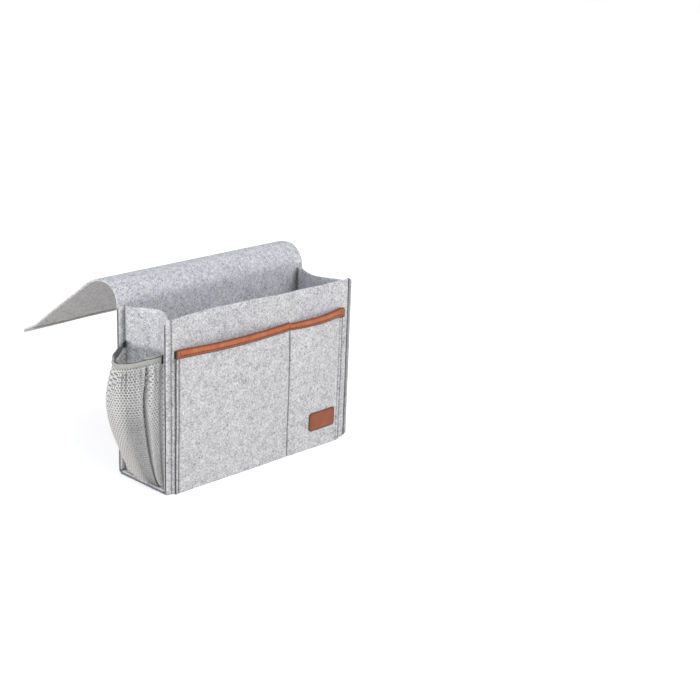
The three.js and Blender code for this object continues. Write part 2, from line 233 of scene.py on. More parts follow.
def make_felt(name, tones, painted_shade_tone):
    """Needle felt: curled tufts, specks and clouds of fibre, all on one scale of greys."""
    material, tree, cloth, edge = cloth_material(name)
    tufts = []
    for turn in TUFT_TURNS:
        lay = {
            "Vector": cloth,
            "Rotation": (0, 0, math.radians(turn)),
            "Location": (turn, 0, 0),
            "Scale": (TUFT_LENGTH * MM, TUFT_WIDTH * MM, TUFT_WIDTH * MM),
        }
        turned = add_node(tree, "Mapping", lay, vector_type="TEXTURE").outputs[0]
        curled = {"Vector": turned, "Scale": 1.0, "Detail": 2.0, "Distortion": 0.8}
        tufts.append(add_node(tree, "TexNoise", curled).outputs[0])
    ends = []
    for operation in ("MINIMUM", "MAXIMUM"):
        pair = add_node(tree, "Math", {0: tufts[0], 1: tufts[1]}, operation=operation).outputs[0]
        ends.append(add_node(tree, "Math", {0: pair, 1: tufts[2]}, operation=operation).outputs[0])
    tuft = add_node(tree, "Math", {0: ends[0], 1: ends[1]}, operation="ADD").outputs[0]
    grains = []
    for size, detail in ((SPECK_SIZE, 1.0), (CLOUD_SIZE, 3.0), (FUZZ_SIZE, 3.0)):
        spread = {"Vector": cloth, "Scale": 1 / (size * MM), "Detail": detail}
        grains.append(add_node(tree, "TexNoise", spread).outputs[0])
    speck, cloud, fuzz = grains
    grey = GREY_START
    for pattern, share in ((tuft, TUFT_SHARE), (speck, SPECK_SHARE), (cloud, CLOUD_SHARE)):
        grey = add_node(tree, "Math", {0: pattern, 1: share, 2: grey}, operation="MULTIPLY_ADD").outputs[0]
    loose = add_node(tree, "ValToRGB", {"Fac": grey}, tones).outputs[0]
    # the attribute edge mixes in the painted shade
    tone = add_node(tree, "Mix", {0: edge, 6: loose, 7: linear(painted_shade_tone)}, data_type="RGBA").outputs[2]
    height = add_node(tree, "Math", {0: fuzz, 1: grey}, operation="ADD").outputs[0]
    nap = add_node(tree, "Bump", {"Height": height, "Strength": 0.6, "Distance": NAP_HEIGHT * MM}).outputs[0]
    dull = add_node(tree, "MapRange", {"Value": fuzz, "To Min": 0.82, "To Max": 1.0}).outputs[0]
    shader = add_node(
        tree,
        "BsdfPrincipled",
        {
            "Base Color": tone,
            "Roughness": dull,
            "Normal": nap,
            "Specular IOR Level": 0.2,
            "Sheen Weight": 0.12,
            "Sheen Roughness": 0.6,
        },
    )
    add_node(tree, "OutputMaterial", {"Surface": shader.outputs[0]})
    return material


felt = make_felt("heathered needle felt", FELT_TONES, FELT_PAINTED_SHADE)
print("felt nodes:", len(felt.node_tree.nodes))

# %% [markdown]
# ## From flat cut to sewn piece
# Felt pieces are die cut flat, so each one starts here as one flat face with rounded corners. Straight
# slices give it lines to bend along, close together beside seams, where the felt dips. An extrusion gives
# the thickness and a small bevel rolls the rim, as a cut edge of felt looks. Then a function moves every
# point to its place on the caddy. Each point keeps its flat place in the attribute cloth.

# %% Cutting flat cloth
SEAM_SHIFTS = (-4, -2.4, -1.5, -0.8, 0, 0.8, 1.5, 2.4, 4)  # bend lines beside a seam


def round_corners(bm, corners, radius):
    """Rounds corners of a flat face."""
    bmesh.ops.bevel(bm, geom=corners, offset=radius, affect="VERTICES", segments=5, profile=0.5, material=-1)


def flat_cut(across, along, radius=0.0, start=True, end=True):
    """A flat face between two places across and two along, with round corners at its start and end."""
    bm = bmesh.new()
    bmesh.ops.create_grid(bm, x_segments=1, y_segments=1, size=0.5)
    bmesh.ops.scale(bm, vec=(across[1] - across[0], along[1] - along[0], 1), verts=bm.verts)
    middle = Vector((sum(across) / 2, sum(along) / 2, 0))
    bmesh.ops.translate(bm, vec=middle, verts=bm.verts)
    if radius:
        round_corners(bm, [v for v in bm.verts if (start if v.co.y < middle.y else end)], radius)
    return bm


def bend_lines(first, last, step, seams=()):
    """Places between first and last about step apart, and close together round each seam."""
    near = [seam + shift for seam in seams for shift in SEAM_SHIFTS]
    near = sorted(place for place in near if first < place < last)
    count = max(1, round((last - first) / step))
    even = [first + (last - first) * i / count for i in range(count + 1)]
    even = [place for place in even if all(abs(place - other) > step / 3 for other in near)]
    return sorted(near + even)


def slice_cloth(bm, across=(), along=()):
    """Cuts the cloth along lines, so that it can bend there."""
    for normal, places in ((Vector((1, 0, 0)), across), (Vector((0, 1, 0)), along)):
        for place in places:
            everything = bm.verts[:] + bm.edges[:] + bm.faces[:]
            bmesh.ops.bisect_plane(bm, geom=everything, plane_co=normal * place, plane_no=normal)


print("bend lines round a seam at 20:", [round(place, 1) for place in bend_lines(0, 40, 8, [20])])

# %% Thickness, rims and places
RIM_ANGLE = math.radians(60)  # an edge with a sharper turn than this belongs to the rim
SAME_PLACE = 0.01  # places nearer than this count as one


def clamp(value, low=0.0, high=1.0):
    return min(high, max(low, value))


def smooth_step(value):
    """Rises smoothly from 0 to 1."""
    share = clamp(value)
    return share * share * (3 - 2 * share)


def thicken(bm, thickness, rim=0.0, sharp_at=None):
    """Gives flat cloth its thickness and rolls its rim, but for the cut at one place along it."""
    raised = bmesh.ops.extrude_face_region(bm, geom=bm.faces[:])["geom"]
    raised = [item for item in raised if isinstance(item, bmesh.types.BMVert)]
    bmesh.ops.translate(bm, vec=(0, 0, thickness), verts=raised)
    bmesh.ops.recalc_face_normals(bm, faces=bm.faces)
    if not rim:
        return
    edges = [edge for edge in bm.edges if edge.calc_face_angle(0) > RIM_ANGLE]
    if sharp_at is not None:
        edges = [edge for edge in edges if any(abs(v.co.y - sharp_at) > SAME_PLACE for v in edge.verts)]
    bmesh.ops.bevel(bm, geom=edges, offset=rim, affect="EDGES", segments=3, profile=0.5, material=-1)


def mark_darkening(bm, how_much):
    """Keeps how dark each point of a flat piece is, as the attribute edge: painted shade, or a dark edge or
    end.
    """
    edge = bm.verts.layers.float.new("edge")
    for v in bm.verts:
        v[edge] = clamp(how_much(v.co))


def lay_cloth(bm, place, pattern_start=0.0):
    """Keeps each point's flat place as cloth, then moves the point to its place on the caddy."""
    cloth = bm.verts.layers.float_vector.new("cloth")
    for v in bm.verts:
        v[cloth] = (v.co + Vector((pattern_start, 0, 0))) * MM
        v.co = place(*v.co)


print("smooth step in quarters:", [round(smooth_step(i / 4), 2) for i in range(5)])

# %% Making a piece
SMOOTH_BELOW = math.radians(50)


def add_piece(name, bm, material, nodes, body=None):
    """Makes an object from a mesh in millimetres. It stands for these nodes and rides on that body."""
    bmesh.ops.scale(bm, vec=(MM, MM, MM), verts=bm.verts)
    mesh = bpy.data.meshes.new(name)
    bm.to_mesh(mesh)
    bm.free()
    mesh.shade_smooth()
    mesh.set_sharp_from_angle(angle=SMOOTH_BELOW)
    mesh.materials.append(material)
    piece = bpy.data.objects.new(name, mesh)
    scene.collection.objects.link(piece)
    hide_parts(*nodes)
    if body:
        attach(piece, body)
    print(name, len(mesh.polygons), "faces")
    return piece


print("faces look smooth below", round(math.degrees(SMOOTH_BELOW)), "degrees")

# %% [markdown]
# ## Places on the box
# The sizes come from the solids' own boxes. As in the solids, the front sags into the box towards its rim,
# the sides fold inward between the panels, and the two pockets stand off between their seams. Real felt is
# less even: the rim has bends of its own, the front stands forward beside its side seams, and the upper
# right corner of the pockets stands higher. A slow ripple is added to the front, as felt never hangs quite
# flat, and all that is sewn to it follows.

# %% Sizes of the box
def node_box(node):
    """Lowest and highest corner of a solid, in millimetres."""
    low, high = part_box(node)
    return low / MM, high / MM


def seam_of(node):
    """Middle of a seam's solid."""
    low, high = node_box(node)
    return (low + high) / 2


panel_x = node_box("front_panel")[1].x
front_y = node_box("front_panel")[0].y
front_top = node_box("front_panel")[1].z
side_top = node_box("left_gusset")[1].z
flange_y = node_box("bottom_panel")[1].y
FELT = node_box("bottom_panel")[1].z
GAP = 0.3  # between layers that touch
SEAM_MARGIN = 10.0  # felt left standing outside each side seam
gusset_x = panel_x - SEAM_MARGIN
clear_x = gusset_x - FELT
clear_y = flange_y - FELT
seam_x = seam_of("front_thread_right").x
pocket_low, pocket_high = node_box("front_pocket")
trim_low, trim_high = node_box("pocket_trim")
pocket_seams = [seam_of("pocket_thread_" + side).x for side in ("left", "middle", "right")]
print("front", 2 * panel_x, "x", front_top, "mm, seams at", [round(x, 1) for x in pocket_seams])

# %% Form of the front
FRONT_LEAN = 10.0  # how far the rim lies back where it sags most
FRONT_LEAN_START = 130.0
FRONT_LEAN_SKEW = 0.75  # below 1 the deepest place lies left of the middle
RIM_WAVES = ((15, -5.0, 45), (138, 4.0, 16))  # place, depth and width of bends of the rim alone
MARGIN_STEP = {-1: 0.5, 1: 0.2}  # how far the margin outside the left and the right seam lies back
MARGIN_STEP_WIDTH = 2
PUFF = {-1: 0.8, 1: 2.8}  # how far the front stands forward beside each of these seams
PUFF_WIDTH = 11.0
RIPPLES = ((0.9, 75, 3.1), (0.2, 21, 8.7))  # height and length of waves, and a place in the noise


def margin_step(x):
    """How far the front lies back outside a side seam, less how far it stands forward just inside it."""
    side = 1 if x > 0 else -1
    past = abs(x) - seam_x
    inside = math.exp(-((min(0.0, past) / PUFF_WIDTH) ** 2))
    back = MARGIN_STEP[side] * smooth_step(past / MARGIN_STEP_WIDTH + 0.5)
    forward = PUFF[side] * inside * (1 - smooth_step(past / MARGIN_STEP_WIDTH + 1))
    return back - forward


def ripple(x, z):
    """Slow unevenness of the felt."""
    return sum(height * noise.noise(Vector((x / length, at, z / length))) for height, length, at in RIPPLES)


def front_sag(x, z):
    """How far the front lies behind its plane."""
    across = clamp((x + clear_x) / (2 * clear_x)) ** FRONT_LEAN_SKEW
    up = max(0.0, z - FRONT_LEAN_START) / (front_top - FRONT_LEAN_START)
    rim = sum(depth * math.exp(-(((x - at) / width) ** 2)) for at, depth, width in RIM_WAVES) * up**4
    return FRONT_LEAN * math.sin(math.pi * across) * up**2 + rim + margin_step(x) + ripple(x, z)


def on_front(x, out, z):
    """A place at a distance out from the outer face of the front."""
    return Vector((x, front_y - out + front_sag(x, z), z))


print("middle of the rim lies", round(front_sag(0, front_top), 1), "mm back")

# %% Form of the pockets
POCKET_BULGES = (10.0, 8.0)  # of the left and the right pocket
POCKET_LIFT = 3.5  # the upper right corner of the pockets stands this much higher
LEATHER = 1.2  # its inner leaf lies behind the pocket felt


def pocket_bulge(x, z):
    """How far the pockets stand off the front between their seams."""
    left, middle, right = pocket_seams
    start, end, depth = (left, middle, POCKET_BULGES[0]) if x < middle else (middle, right, POCKET_BULGES[1])
    across = clamp((x - start) / (end - start))
    return depth * math.sin(math.pi * across) * (max(z, 0.0) / trim_high.z) ** 1.5


def on_pocket(x, out, z):
    """A place at a distance out from the back of the pocket cloth."""
    standoff = GAP + (LEATHER + GAP) * clamp(z / trim_low.z)
    right = clamp((x - pocket_seams[1]) / (pocket_seams[2] - pocket_seams[1]))
    lift = POCKET_LIFT * right * clamp(z / trim_high.z) ** 3
    return Vector((x, front_y - out + front_sag(x, z) - pocket_bulge(x, z) - standoff, z + lift))


print("pockets bulge by", POCKET_BULGES, "mm at their upper edge")

# %% Dips and shades
SEAM_DIP = 2.0
SEAM_DIP_WIDTH = 1.1
# painted shade in the seam grooves
SEAM_SHADE = 0.7
FELT_RIM = 1.0
# painted shade where a rim lies on the next layer
RIM_SHADE = 0.9
RIM_SHADE_REACH = 1.6  # the painted shade where a cut edge lies on the next layer reaches this far up its rim
# painted shade in the creases inside the box
CREASE_SHADE = 0.5


def seam_dip(distance):
    """How far a seam pulls the felt in at a distance from it."""
    return SEAM_DIP * math.exp(-((distance / SEAM_DIP_WIDTH) ** 2))


def seam_shade(x, seams):
    """How much painted shade the seam grooves give the felt."""
    return SEAM_SHADE * sum(math.exp(-(((x - seam) / SEAM_DIP_WIDTH) ** 2)) for seam in seams)


def outer_face(w):
    """1 on the outer face of the felt, and 0 in the two thirds of its thickness that lie below it."""
    return smooth_step(w / FELT * 3 - 2)


def rim_shade(reach, w):
    """How much painted shade a rim gets, from its distance to the cut edge and to the layer of felt that it
    lies on.
    """
    return smooth_step(RIM_SHADE_REACH - w) * (reach < FELT_RIM)


print("seams dip", SEAM_DIP, "mm into the felt")

# %% [markdown]
# ## Front and floor
# The front is one rectangle of felt with round corners. Its side seams run 8.5 mm from its edges and pull
# it in, and the felt just inside them stands forward. Its right end stands a little higher than its left
# one and lifts the corner of the floor and of the side that are sewn to it. The floor is a plain rectangle.

# %% Front
CORNER_RADIUS = 6.0
EDGE_STEP = 6.5  # first bend line from a rim with round corners
RIM_STEP = 3  # first bend line from a rim with square corners and from the ends of the front
RIGHT_LIFT = 2.8  # the right end of the front stands this much higher
LIFT_ACROSS = (138, 20)  # where the lift starts across the box, and the length over which it rises
LIFT_FORWARD = (10, 35)  # the same from the middle of the floor towards the front
RIM_WAVE = 0.9
RIM_WAVE_LENGTH = 48
LEFT_SEAM_SHADE = 0.5  # share of the usual painted shade that the left and the right seam of the front show
RIGHT_SEAM_SHADE = 1.4
MARGIN_SHADE = 0.2  # painted shade on the whole right margin
MARGIN_SEAM_SHADE = 0.75  # and more beside its seam
MARGIN_SEAM_WIDTH = 4


def corner_lift(x, y):
    """How far the right front corner of the box stands off the ground at a place on its floor."""
    across = smooth_step((x - LIFT_ACROSS[0]) / LIFT_ACROSS[1])
    forward = smooth_step((-y - LIFT_FORWARD[0]) / LIFT_FORWARD[1])
    return RIGHT_LIFT * across * forward


def place_front(x, z, w):
    dips = sum(seam_dip(x - seam) for seam in (-seam_x, seam_x))
    wave = RIM_WAVE * noise.noise(Vector((x / RIM_WAVE_LENGTH, 1.7, 0))) * clamp(z / front_top) ** 6
    return on_front(x, w - FELT - dips * w / FELT, z + wave + corner_lift(x, front_y))


def shade_front(p):
    """Painted shade in the side seams and where the cut edge meets the flange, and a little on the right
    margin.
    """
    seams = LEFT_SEAM_SHADE * seam_shade(p.x, (-seam_x,)) + RIGHT_SEAM_SHADE * seam_shade(p.x, (seam_x,))
    past = p.x - seam_x
    margin = 0.0
    if past > 0:
        margin = MARGIN_SHADE + MARGIN_SEAM_SHADE * math.exp(-((past / MARGIN_SEAM_WIDTH) ** 2))
    return max(max(seams, margin) * outer_face(p.z), RIM_SHADE * rim_shade(panel_x - abs(p.x), p.z))


cut = flat_cut((-panel_x, panel_x), (0, front_top), CORNER_RADIUS)
columns = bend_lines(-panel_x + EDGE_STEP, panel_x - EDGE_STEP, step=6, seams=(-seam_x, seam_x))
columns = [-panel_x + RIM_STEP, *columns, panel_x - RIM_STEP]
slice_cloth(cut, columns, bend_lines(EDGE_STEP, front_top - EDGE_STEP, step=6))
thicken(cut, FELT, FELT_RIM)
mark_darkening(cut, shade_front)
lay_cloth(cut, place_front)
felt_front = add_piece("felt_front", cut, felt, ["front_panel"], "caddy")

# %% Floor of the box
# painted shade on the floor's rim where it lies on the next layer
FLOOR_RIM_SHADE = 0.8

cut = flat_cut((-panel_x, panel_x), (-flange_y, flange_y))
columns = bend_lines(-panel_x + RIM_STEP, panel_x - RIM_STEP, step=12)
slice_cloth(cut, columns, bend_lines(-flange_y + RIM_STEP, flange_y - RIM_STEP, step=12))
thicken(cut, FELT, FELT_RIM)
mark_darkening(cut, lambda p: FLOOR_RIM_SHADE * rim_shade(panel_x - abs(p.x), FELT - p.z))
lay_cloth(cut, lambda x, y, w: Vector((x, y, w + corner_lift(x, y))), pattern_start=1000)
felt_floor = add_piece("felt_floor", cut, felt, ["bottom_panel"], "caddy")

# %% [markdown]
# ## Front pockets
# One wide piece of felt makes both pockets. It is sewn to the front at its two ends and down a divider, and
# it bulges between these seams, more towards its open upper edge, which steps down a little just right of
# the divider. The dips of the three seams are cut in with close bend lines. The lower right corner is
# round: the foot of the flat piece is pushed up there.

# %% Pocket felt
END_STEP = 1.5  # first bend line from the ends of the pocket felt and of its edging
FOOT_STEP = 2.5  # and from the foot and the upper edge of the pocket felt
TOP_STEP = 1.9  # how much lower the upper edge lies just right of the divider
TOP_STEP_RUN = 2.5  # the edge steps down over this length
TOP_STEP_FADE = 32  # and comes back up over about this one
POCKET_RADIUS = 4.5  # of the lower right corner
FOOT_FADE = 20  # height at which nothing of the round corner is left
LEFT_END = 1.3  # width of the painted shade on the left end, which shows less on the outer face
LEFT_END_FADE = 0.7
# painted shade on the right end
RIGHT_END = 2.4
RIGHT_END_BLUR = 1.2
RIGHT_END_SHADE = 0.85
RIGHT_POCKET_SEAM_SHADE = 0.2


def top_step(x):
    """How much lower the upper edge of the pockets lies at a place across the front."""
    right = max(0.0, x - pocket_seams[1])
    return TOP_STEP * smooth_step(right / TOP_STEP_RUN) * math.exp(-((right / TOP_STEP_FADE) ** 2))


def place_pocket(x, z, w):
    dips = sum(seam_dip(x - seam) for seam in pocket_seams)
    past = clamp(x - pocket_high.x + POCKET_RADIUS, 0, POCKET_RADIUS)
    foot = POCKET_RADIUS - math.sqrt(POCKET_RADIUS**2 - past**2)
    shift = foot * clamp(1 - z / FOOT_FADE) - top_step(x) * clamp(z / pocket_high.z) ** 8
    return on_pocket(x, w - dips * w / FELT, z + shift)


def shade_pocket(p):
    """Painted shade on the cut ends, which stand off the front, and in the seams."""
    outside = outer_face(p.z)
    left_end = smooth_step(LEFT_END - p.x + pocket_low.x) * (1 - LEFT_END_FADE * outside)
    right_end = RIGHT_END_SHADE * smooth_step((RIGHT_END - pocket_high.x + p.x) / RIGHT_END_BLUR)
    seams = seam_shade(p.x, pocket_seams[:2]) + RIGHT_POCKET_SEAM_SHADE * seam_shade(p.x, pocket_seams[2:])
    return max(seams * outside, left_end, right_end)


cut = flat_cut((pocket_low.x, pocket_high.x), (0, pocket_high.z))
slice_cloth(
    cut,
    bend_lines(pocket_low.x + END_STEP, pocket_high.x - END_STEP, step=5, seams=pocket_seams),
    bend_lines(FOOT_STEP, pocket_high.z - FOOT_STEP, step=5),
)
thicken(cut, FELT, FELT_RIM)
mark_darkening(cut, shade_pocket)
lay_cloth(cut, place_pocket, pattern_start=2000)
felt_pocket = add_piece("felt_pocket", cut, felt, ["front_pocket"], "caddy")

# %% [markdown]
# ## Sides
# Each side is a wall of felt whose front, rear and lower edges turn outward as flanges, which are sewn to
# the margins of the panels. The cut is a wall with three tabs, made by extruding its edges. The tabs bend
# round a small radius. Between the panels the wall folds into the box, most at its rim, so the caddy can be
# squashed flat. The right side folds less than the left one.

# %% Form of the sides
SIDE_LEAN = {-1: 20.0, 1: 14.0}  # how far the rim of the left and the right side folds inward
SIDE_RIPPLE = 1.2
SIDE_RIPPLE_LENGTHS = (40, 60)  # along a side and up it
SIDE_RIPPLE_FADE = 15
BEND_RADIUS = 2.5  # of the middle of the felt, where a flange turns
bend_length = BEND_RADIUS * math.pi / 2
wall_x = gusset_x - FELT / 2
wall_half = flange_y - FELT / 2 - BEND_RADIUS
wall_foot = FELT + GAP + FELT / 2 + BEND_RADIUS
tab = bend_length + panel_x - wall_x - BEND_RADIUS


def turn_out(past):
    """Distance along and out, and the angle, of a place that lies past the start of a flange's bend."""
    angle = clamp(past / BEND_RADIUS, 0, math.pi / 2)
    straight = max(0.0, past - bend_length)
    return BEND_RADIUS * math.sin(angle), BEND_RADIUS * (1 - math.cos(angle)) + straight, angle


def side_fold(side, y, z):
    """How far a side folds into the box, with some unevenness that fades at the panels."""
    across = 1 + math.cos(math.pi * clamp(y / clear_y, -1, 1))
    fold = (SIDE_LEAN[side] / 2) * across * (z / side_top) ** 1.5
    along, up = y / SIDE_RIPPLE_LENGTHS[0], z / SIDE_RIPPLE_LENGTHS[1]
    uneven = SIDE_RIPPLE * noise.noise(Vector((along, side * 5.3, up)))
    return fold + uneven * clamp((clear_y - abs(y)) / SIDE_RIPPLE_FADE)


def place_side(side, s, t, w):
    offset = w - FELT / 2
    end = 1 if s > 0 else -1
    along, out, angle = turn_out(abs(s) - wall_half)
    down, foot_out, foot_angle = turn_out(wall_foot - t)
    y = end * (min(abs(s), wall_half) + along - offset * math.sin(angle))
    z = max(t, wall_foot) - down + offset * math.sin(foot_angle)
    x = wall_x + out + foot_out + offset * math.cos(angle) * math.cos(foot_angle)
    curl = margin_step(side * x) if y < 0 else 0.0
    lift = max(corner_lift(x, y), RIGHT_LIFT * clamp(z / side_top) ** 6) if side > 0 else 0.0
    return Vector((side * (x - side_fold(side, y, z)), y + curl, z + lift))


print("flange of", round(tab, 1), "mm round a bend of", round(bend_length, 1), "mm")

# %% Felt of the sides
CORNER_SHADES = {-1: 0.45, 1: 0.75}  # painted shade in the corner where the front and the rear flange turn out
CORNER_SHADE_WIDTH = 2.5
SIDE_CREASE_START = 3  # inside the box a side has painted shade from this far before a flange's bend
SIDE_CREASE_WIDTH = 4
WALL_STEP = 4  # first bend line from the bends of the front and the rear flange
WALL_FOOT_STEP = 6  # and from that of the lower flange


def shade_side(p):
    """Painted shade on the rim of each flange where it lies on its panel, in the corner where it turns out,
    and in the crease.
    """
    past = abs(p.x) - wall_half
    reach = min(tab - past, p.y - wall_foot + tab)
    turn = math.exp(-(((past - bend_length) / CORNER_SHADE_WIDTH) ** 2)) * smooth_step(p.z - FELT / 2)
    corner = turn * CORNER_SHADES[1 if p.x > 0 else -1]
    crease = CREASE_SHADE * smooth_step((past + SIDE_CREASE_START) / SIDE_CREASE_WIDTH) * smooth_step(1 - p.z)
    return max(RIM_SHADE * rim_shade(reach, p.z), corner, crease)


def wall_edges(bm, axis, place):
    """Edges of the wall, without those of its tabs, that lie at one place across it or along it."""
    edges = [edge for edge in bm.edges if all(abs(v.co[axis] - place) < SAME_PLACE for v in edge.verts)]
    return [edge for edge in edges if max(abs(v.co.x) for v in edge.verts) < wall_half + 1]


def cut_side():
    """A wall with a tab at its front, its rear and its foot."""
    bm = flat_cut((-wall_half, wall_half), (wall_foot, side_top))
    for axis, place, shift in (
        (0, -wall_half, Vector((-tab, 0, 0))),
        (0, wall_half, Vector((tab, 0, 0))),
        (1, wall_foot, Vector((0, -tab, 0))),
    ):
        grown = bmesh.ops.extrude_edge_only(bm, edges=wall_edges(bm, axis, place))["geom"]
        bmesh.ops.translate(bm, vec=shift, verts=[v for v in grown if isinstance(v, bmesh.types.BMVert)])
    corners = [v for v in bm.verts if v.co.y > side_top - 1 and abs(v.co.x) > wall_half + 1]
    round_corners(bm, corners, CORNER_RADIUS)
    return bm


bend_shares = [bend_length * i / 4 for i in range(5)]
side_columns = [end * (wall_half + share) for end in (-1, 1) for share in bend_shares]
side_columns += bend_lines(-wall_half + WALL_STEP, wall_half - WALL_STEP, step=5)
side_rows = [wall_foot - share for share in bend_shares]
side_rows += bend_lines(wall_foot + WALL_FOOT_STEP, side_top - EDGE_STEP, step=7)
for name, side in (("left", -1), ("right", 1)):
    cut = cut_side()
    slice_cloth(cut, side_columns, side_rows)
    thicken(cut, FELT, FELT_RIM)
    mark_darkening(cut, shade_side)
    lay_cloth(cut, lambda s, t, w: place_side(side, s, t, w), pattern_start=3000 + 500 * side)
    bmesh.ops.recalc_face_normals(cut, faces=cut.faces)
    felt_side = add_piece("felt_side_" + name, cut, felt, [name + "_gusset"], "caddy")

# %% [markdown]
# ## Back and flap
# On the real caddy the back and the flap are one strip of felt, which climbs the back, turns over in a
# crest and falls to a flatter, stiffer end. Its middle line is a walk of straight stretches and turns. The
# flap folds at the rim of the back and at the crest, and a blend bends cloth across one joint only, so the
# strip is cut half way between the two folds. Both sides of that cut have the same section and the flecks
# run on across it.

# %% Path of the strip
back_y = node_box("back_panel")[1].y - FELT / 2
RISE_RADIUS = 29.5
FALL_RADIUS = 68.5
FALL_ANGLE = math.radians(34.8)
END_LIFT = math.radians(10.8)
TAIL_LENGTH = 158.0
END_LENGTH = 35.0
END_BEND = 14.0  # length of the soft bend before the stiff end
fold_height = side_top + FELT / 2 + GAP
STRETCHES = [  # length, then turn towards the ground in radians
    (fold_height, 0.0),
    (RISE_RADIUS * math.pi / 2, math.pi / 2),
    (FALL_RADIUS * FALL_ANGLE, FALL_ANGLE),
    (TAIL_LENGTH - END_BEND / 2, 0.0),
    (END_BEND, -END_LIFT),
    (END_LENGTH - END_BEND / 2, 0.0),
]
strip_end = sum(length for length, turn in STRETCHES)
crest_s = STRETCHES[0][0] + STRETCHES[1][0]
cut_s = STRETCHES[0][0] + STRETCHES[1][0] / 2


def on_strip(x, s, out):
    """A place at a distance along the strip and out from its middle, towards the box and the flap's top."""
    y, z, heading = back_y, 0.0, math.pi / 2
    for length, turn in STRETCHES:
        walked = min(s, length)
        chord = walked
        if turn:
            turned = turn * walked / length
            chord = 2 * length / turn * math.sin(turned / 2)
            heading -= turned / 2
        y += chord * math.cos(heading)
        z += chord * math.sin(heading)
        if turn:
            heading -= turned / 2
        s -= walked
    return Vector((x, y - out * math.sin(heading), z + out * math.cos(heading)))


print("strip", round(strip_end, 1), "mm long, cut at", round(cut_s, 1), "end", on_strip(0, strip_end, 0))

# %% Form of the strip
CREST_SHIFT = (-1.0, 2.5)  # rise of the middle of the crest, and how much more its right end rises
END_SHIFT = (1.5, 4.0)  # the same for the end of the flap
FLAP_WAVE = 1.6
FLAP_WAVE_LENGTH = 95


def place_strip(x, s, w):
    """The strip's felt, with w from the back's outer face. The back's seams pull its outer face in."""
    out = w - FELT / 2
    if s < side_top:
        out += sum(seam_dip(x - seam) for seam in (-seam_x, seam_x)) * (1 - w / FELT)
    over = smooth_step((s - fold_height) / (crest_s - fold_height))
    free = clamp((s - crest_s) / (strip_end - crest_s))
    middle, twist = (a + free * (b - a) for a, b in zip(CREST_SHIFT, END_SHIFT))
    wave = FLAP_WAVE * free * noise.noise(Vector((x / FLAP_WAVE_LENGTH, 4.4, s / FLAP_WAVE_LENGTH)))
    return on_strip(x, s, out + over * (middle + twist * x / panel_x) + wave)


print("right corner of the flap's end:", place_strip(panel_x, strip_end, FELT / 2))

# %% Felt of the back
CUT_SHIFTS = (2.4, 1.2, 0.5)  # bend lines beside the cut of the strip
FOLD_ROWS = 231  # from this height the bend lines lie close, for the fold at the rim
CUT_STEP = 4  # even bend lines start this far from the cut
BACK_CREASE_START = 18  # painted shade in the inner corners starts this far off the sides
BACK_CREASE_WIDTH = 20
BACK_SHADE_FADE = 6  # all painted shades of the back fade this far below the rim of the sides


def shade_back(p):
    """Painted shade in the side seams, on the rim where it lies on the flanges, and in the corners inside the
    box.
    """
    below = FELT - p.z  # distance from the face inside the box
    rim = RIM_SHADE * rim_shade(panel_x - abs(p.x), below)
    seams = seam_shade(p.x, (-seam_x, seam_x)) * outer_face(below)
    corner = smooth_step((abs(p.x) - clear_x + BACK_CREASE_START) / BACK_CREASE_WIDTH) ** 2
    crease = CREASE_SHADE * corner * smooth_step(1 - below)
    return max(seams, rim, crease) * smooth_step((side_top - p.y) / BACK_SHADE_FADE)


back_rows = bend_lines(EDGE_STEP, FOLD_ROWS - 3, step=8)
back_rows += bend_lines(FOLD_ROWS, cut_s - CUT_STEP, step=2.5)
back_rows += [cut_s - shift for shift in CUT_SHIFTS]
back_columns = bend_lines(-panel_x + EDGE_STEP, panel_x - EDGE_STEP, step=9, seams=(-seam_x, seam_x))
cut = flat_cut((-panel_x, panel_x), (0, cut_s), CORNER_RADIUS, end=False)
slice_cloth(cut, back_columns, back_rows)
thicken(cut, FELT, FELT_RIM, sharp_at=cut_s)
mark_darkening(cut, shade_back)
lay_cloth(cut, place_strip, pattern_start=5000)
felt_back = add_piece("felt_back", cut, felt, ["back_panel", "flap_neck"])
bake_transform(felt_back)

# %% Felt of the flap
FLAP_RADIUS = 9.0
CREST_ROWS = 44  # so far past the crest the bend lines lie close

flap_rows = [cut_s + shift for shift in reversed(CUT_SHIFTS)]
flap_rows += bend_lines(cut_s + CUT_STEP, crest_s + CREST_ROWS, step=2.5)
flap_rows += bend_lines(crest_s + CREST_ROWS + 6, strip_end - EDGE_STEP, step=5)
cut = flat_cut((-panel_x, panel_x), (cut_s, strip_end), FLAP_RADIUS, start=False)
slice_cloth(cut, bend_lines(-panel_x + EDGE_STEP, panel_x - EDGE_STEP, step=9), flap_rows)
thicken(cut, FELT, FELT_RIM, sharp_at=cut_s)
lay_cloth(cut, place_strip, pattern_start=5000)
felt_flap = add_piece("felt_flap", cut, felt, ["flap_tail"])
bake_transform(felt_flap)

# %% [markdown]
# ## Leather
# The edging of the pockets is thin tan leather with a fine pebble grain, rolled and a little shiny, and
# uneven in tone. The patch is a darker brown piece of the same hide with a pressed line round its edge. A
# cut edge of leather is burnished dark. Each leather piece keeps how dark a point is as the attribute edge:
# the burnished cut edge, and on the edging also painted shade along its seam and on its fold.

# %% Leather material
PEBBLE_SIZE = 1.1  # real pebbles are about 0.4 mm, drawn coarser so that they show
PEBBLE_HEIGHT = 0.25
HIDE_CLOUD = 14.0


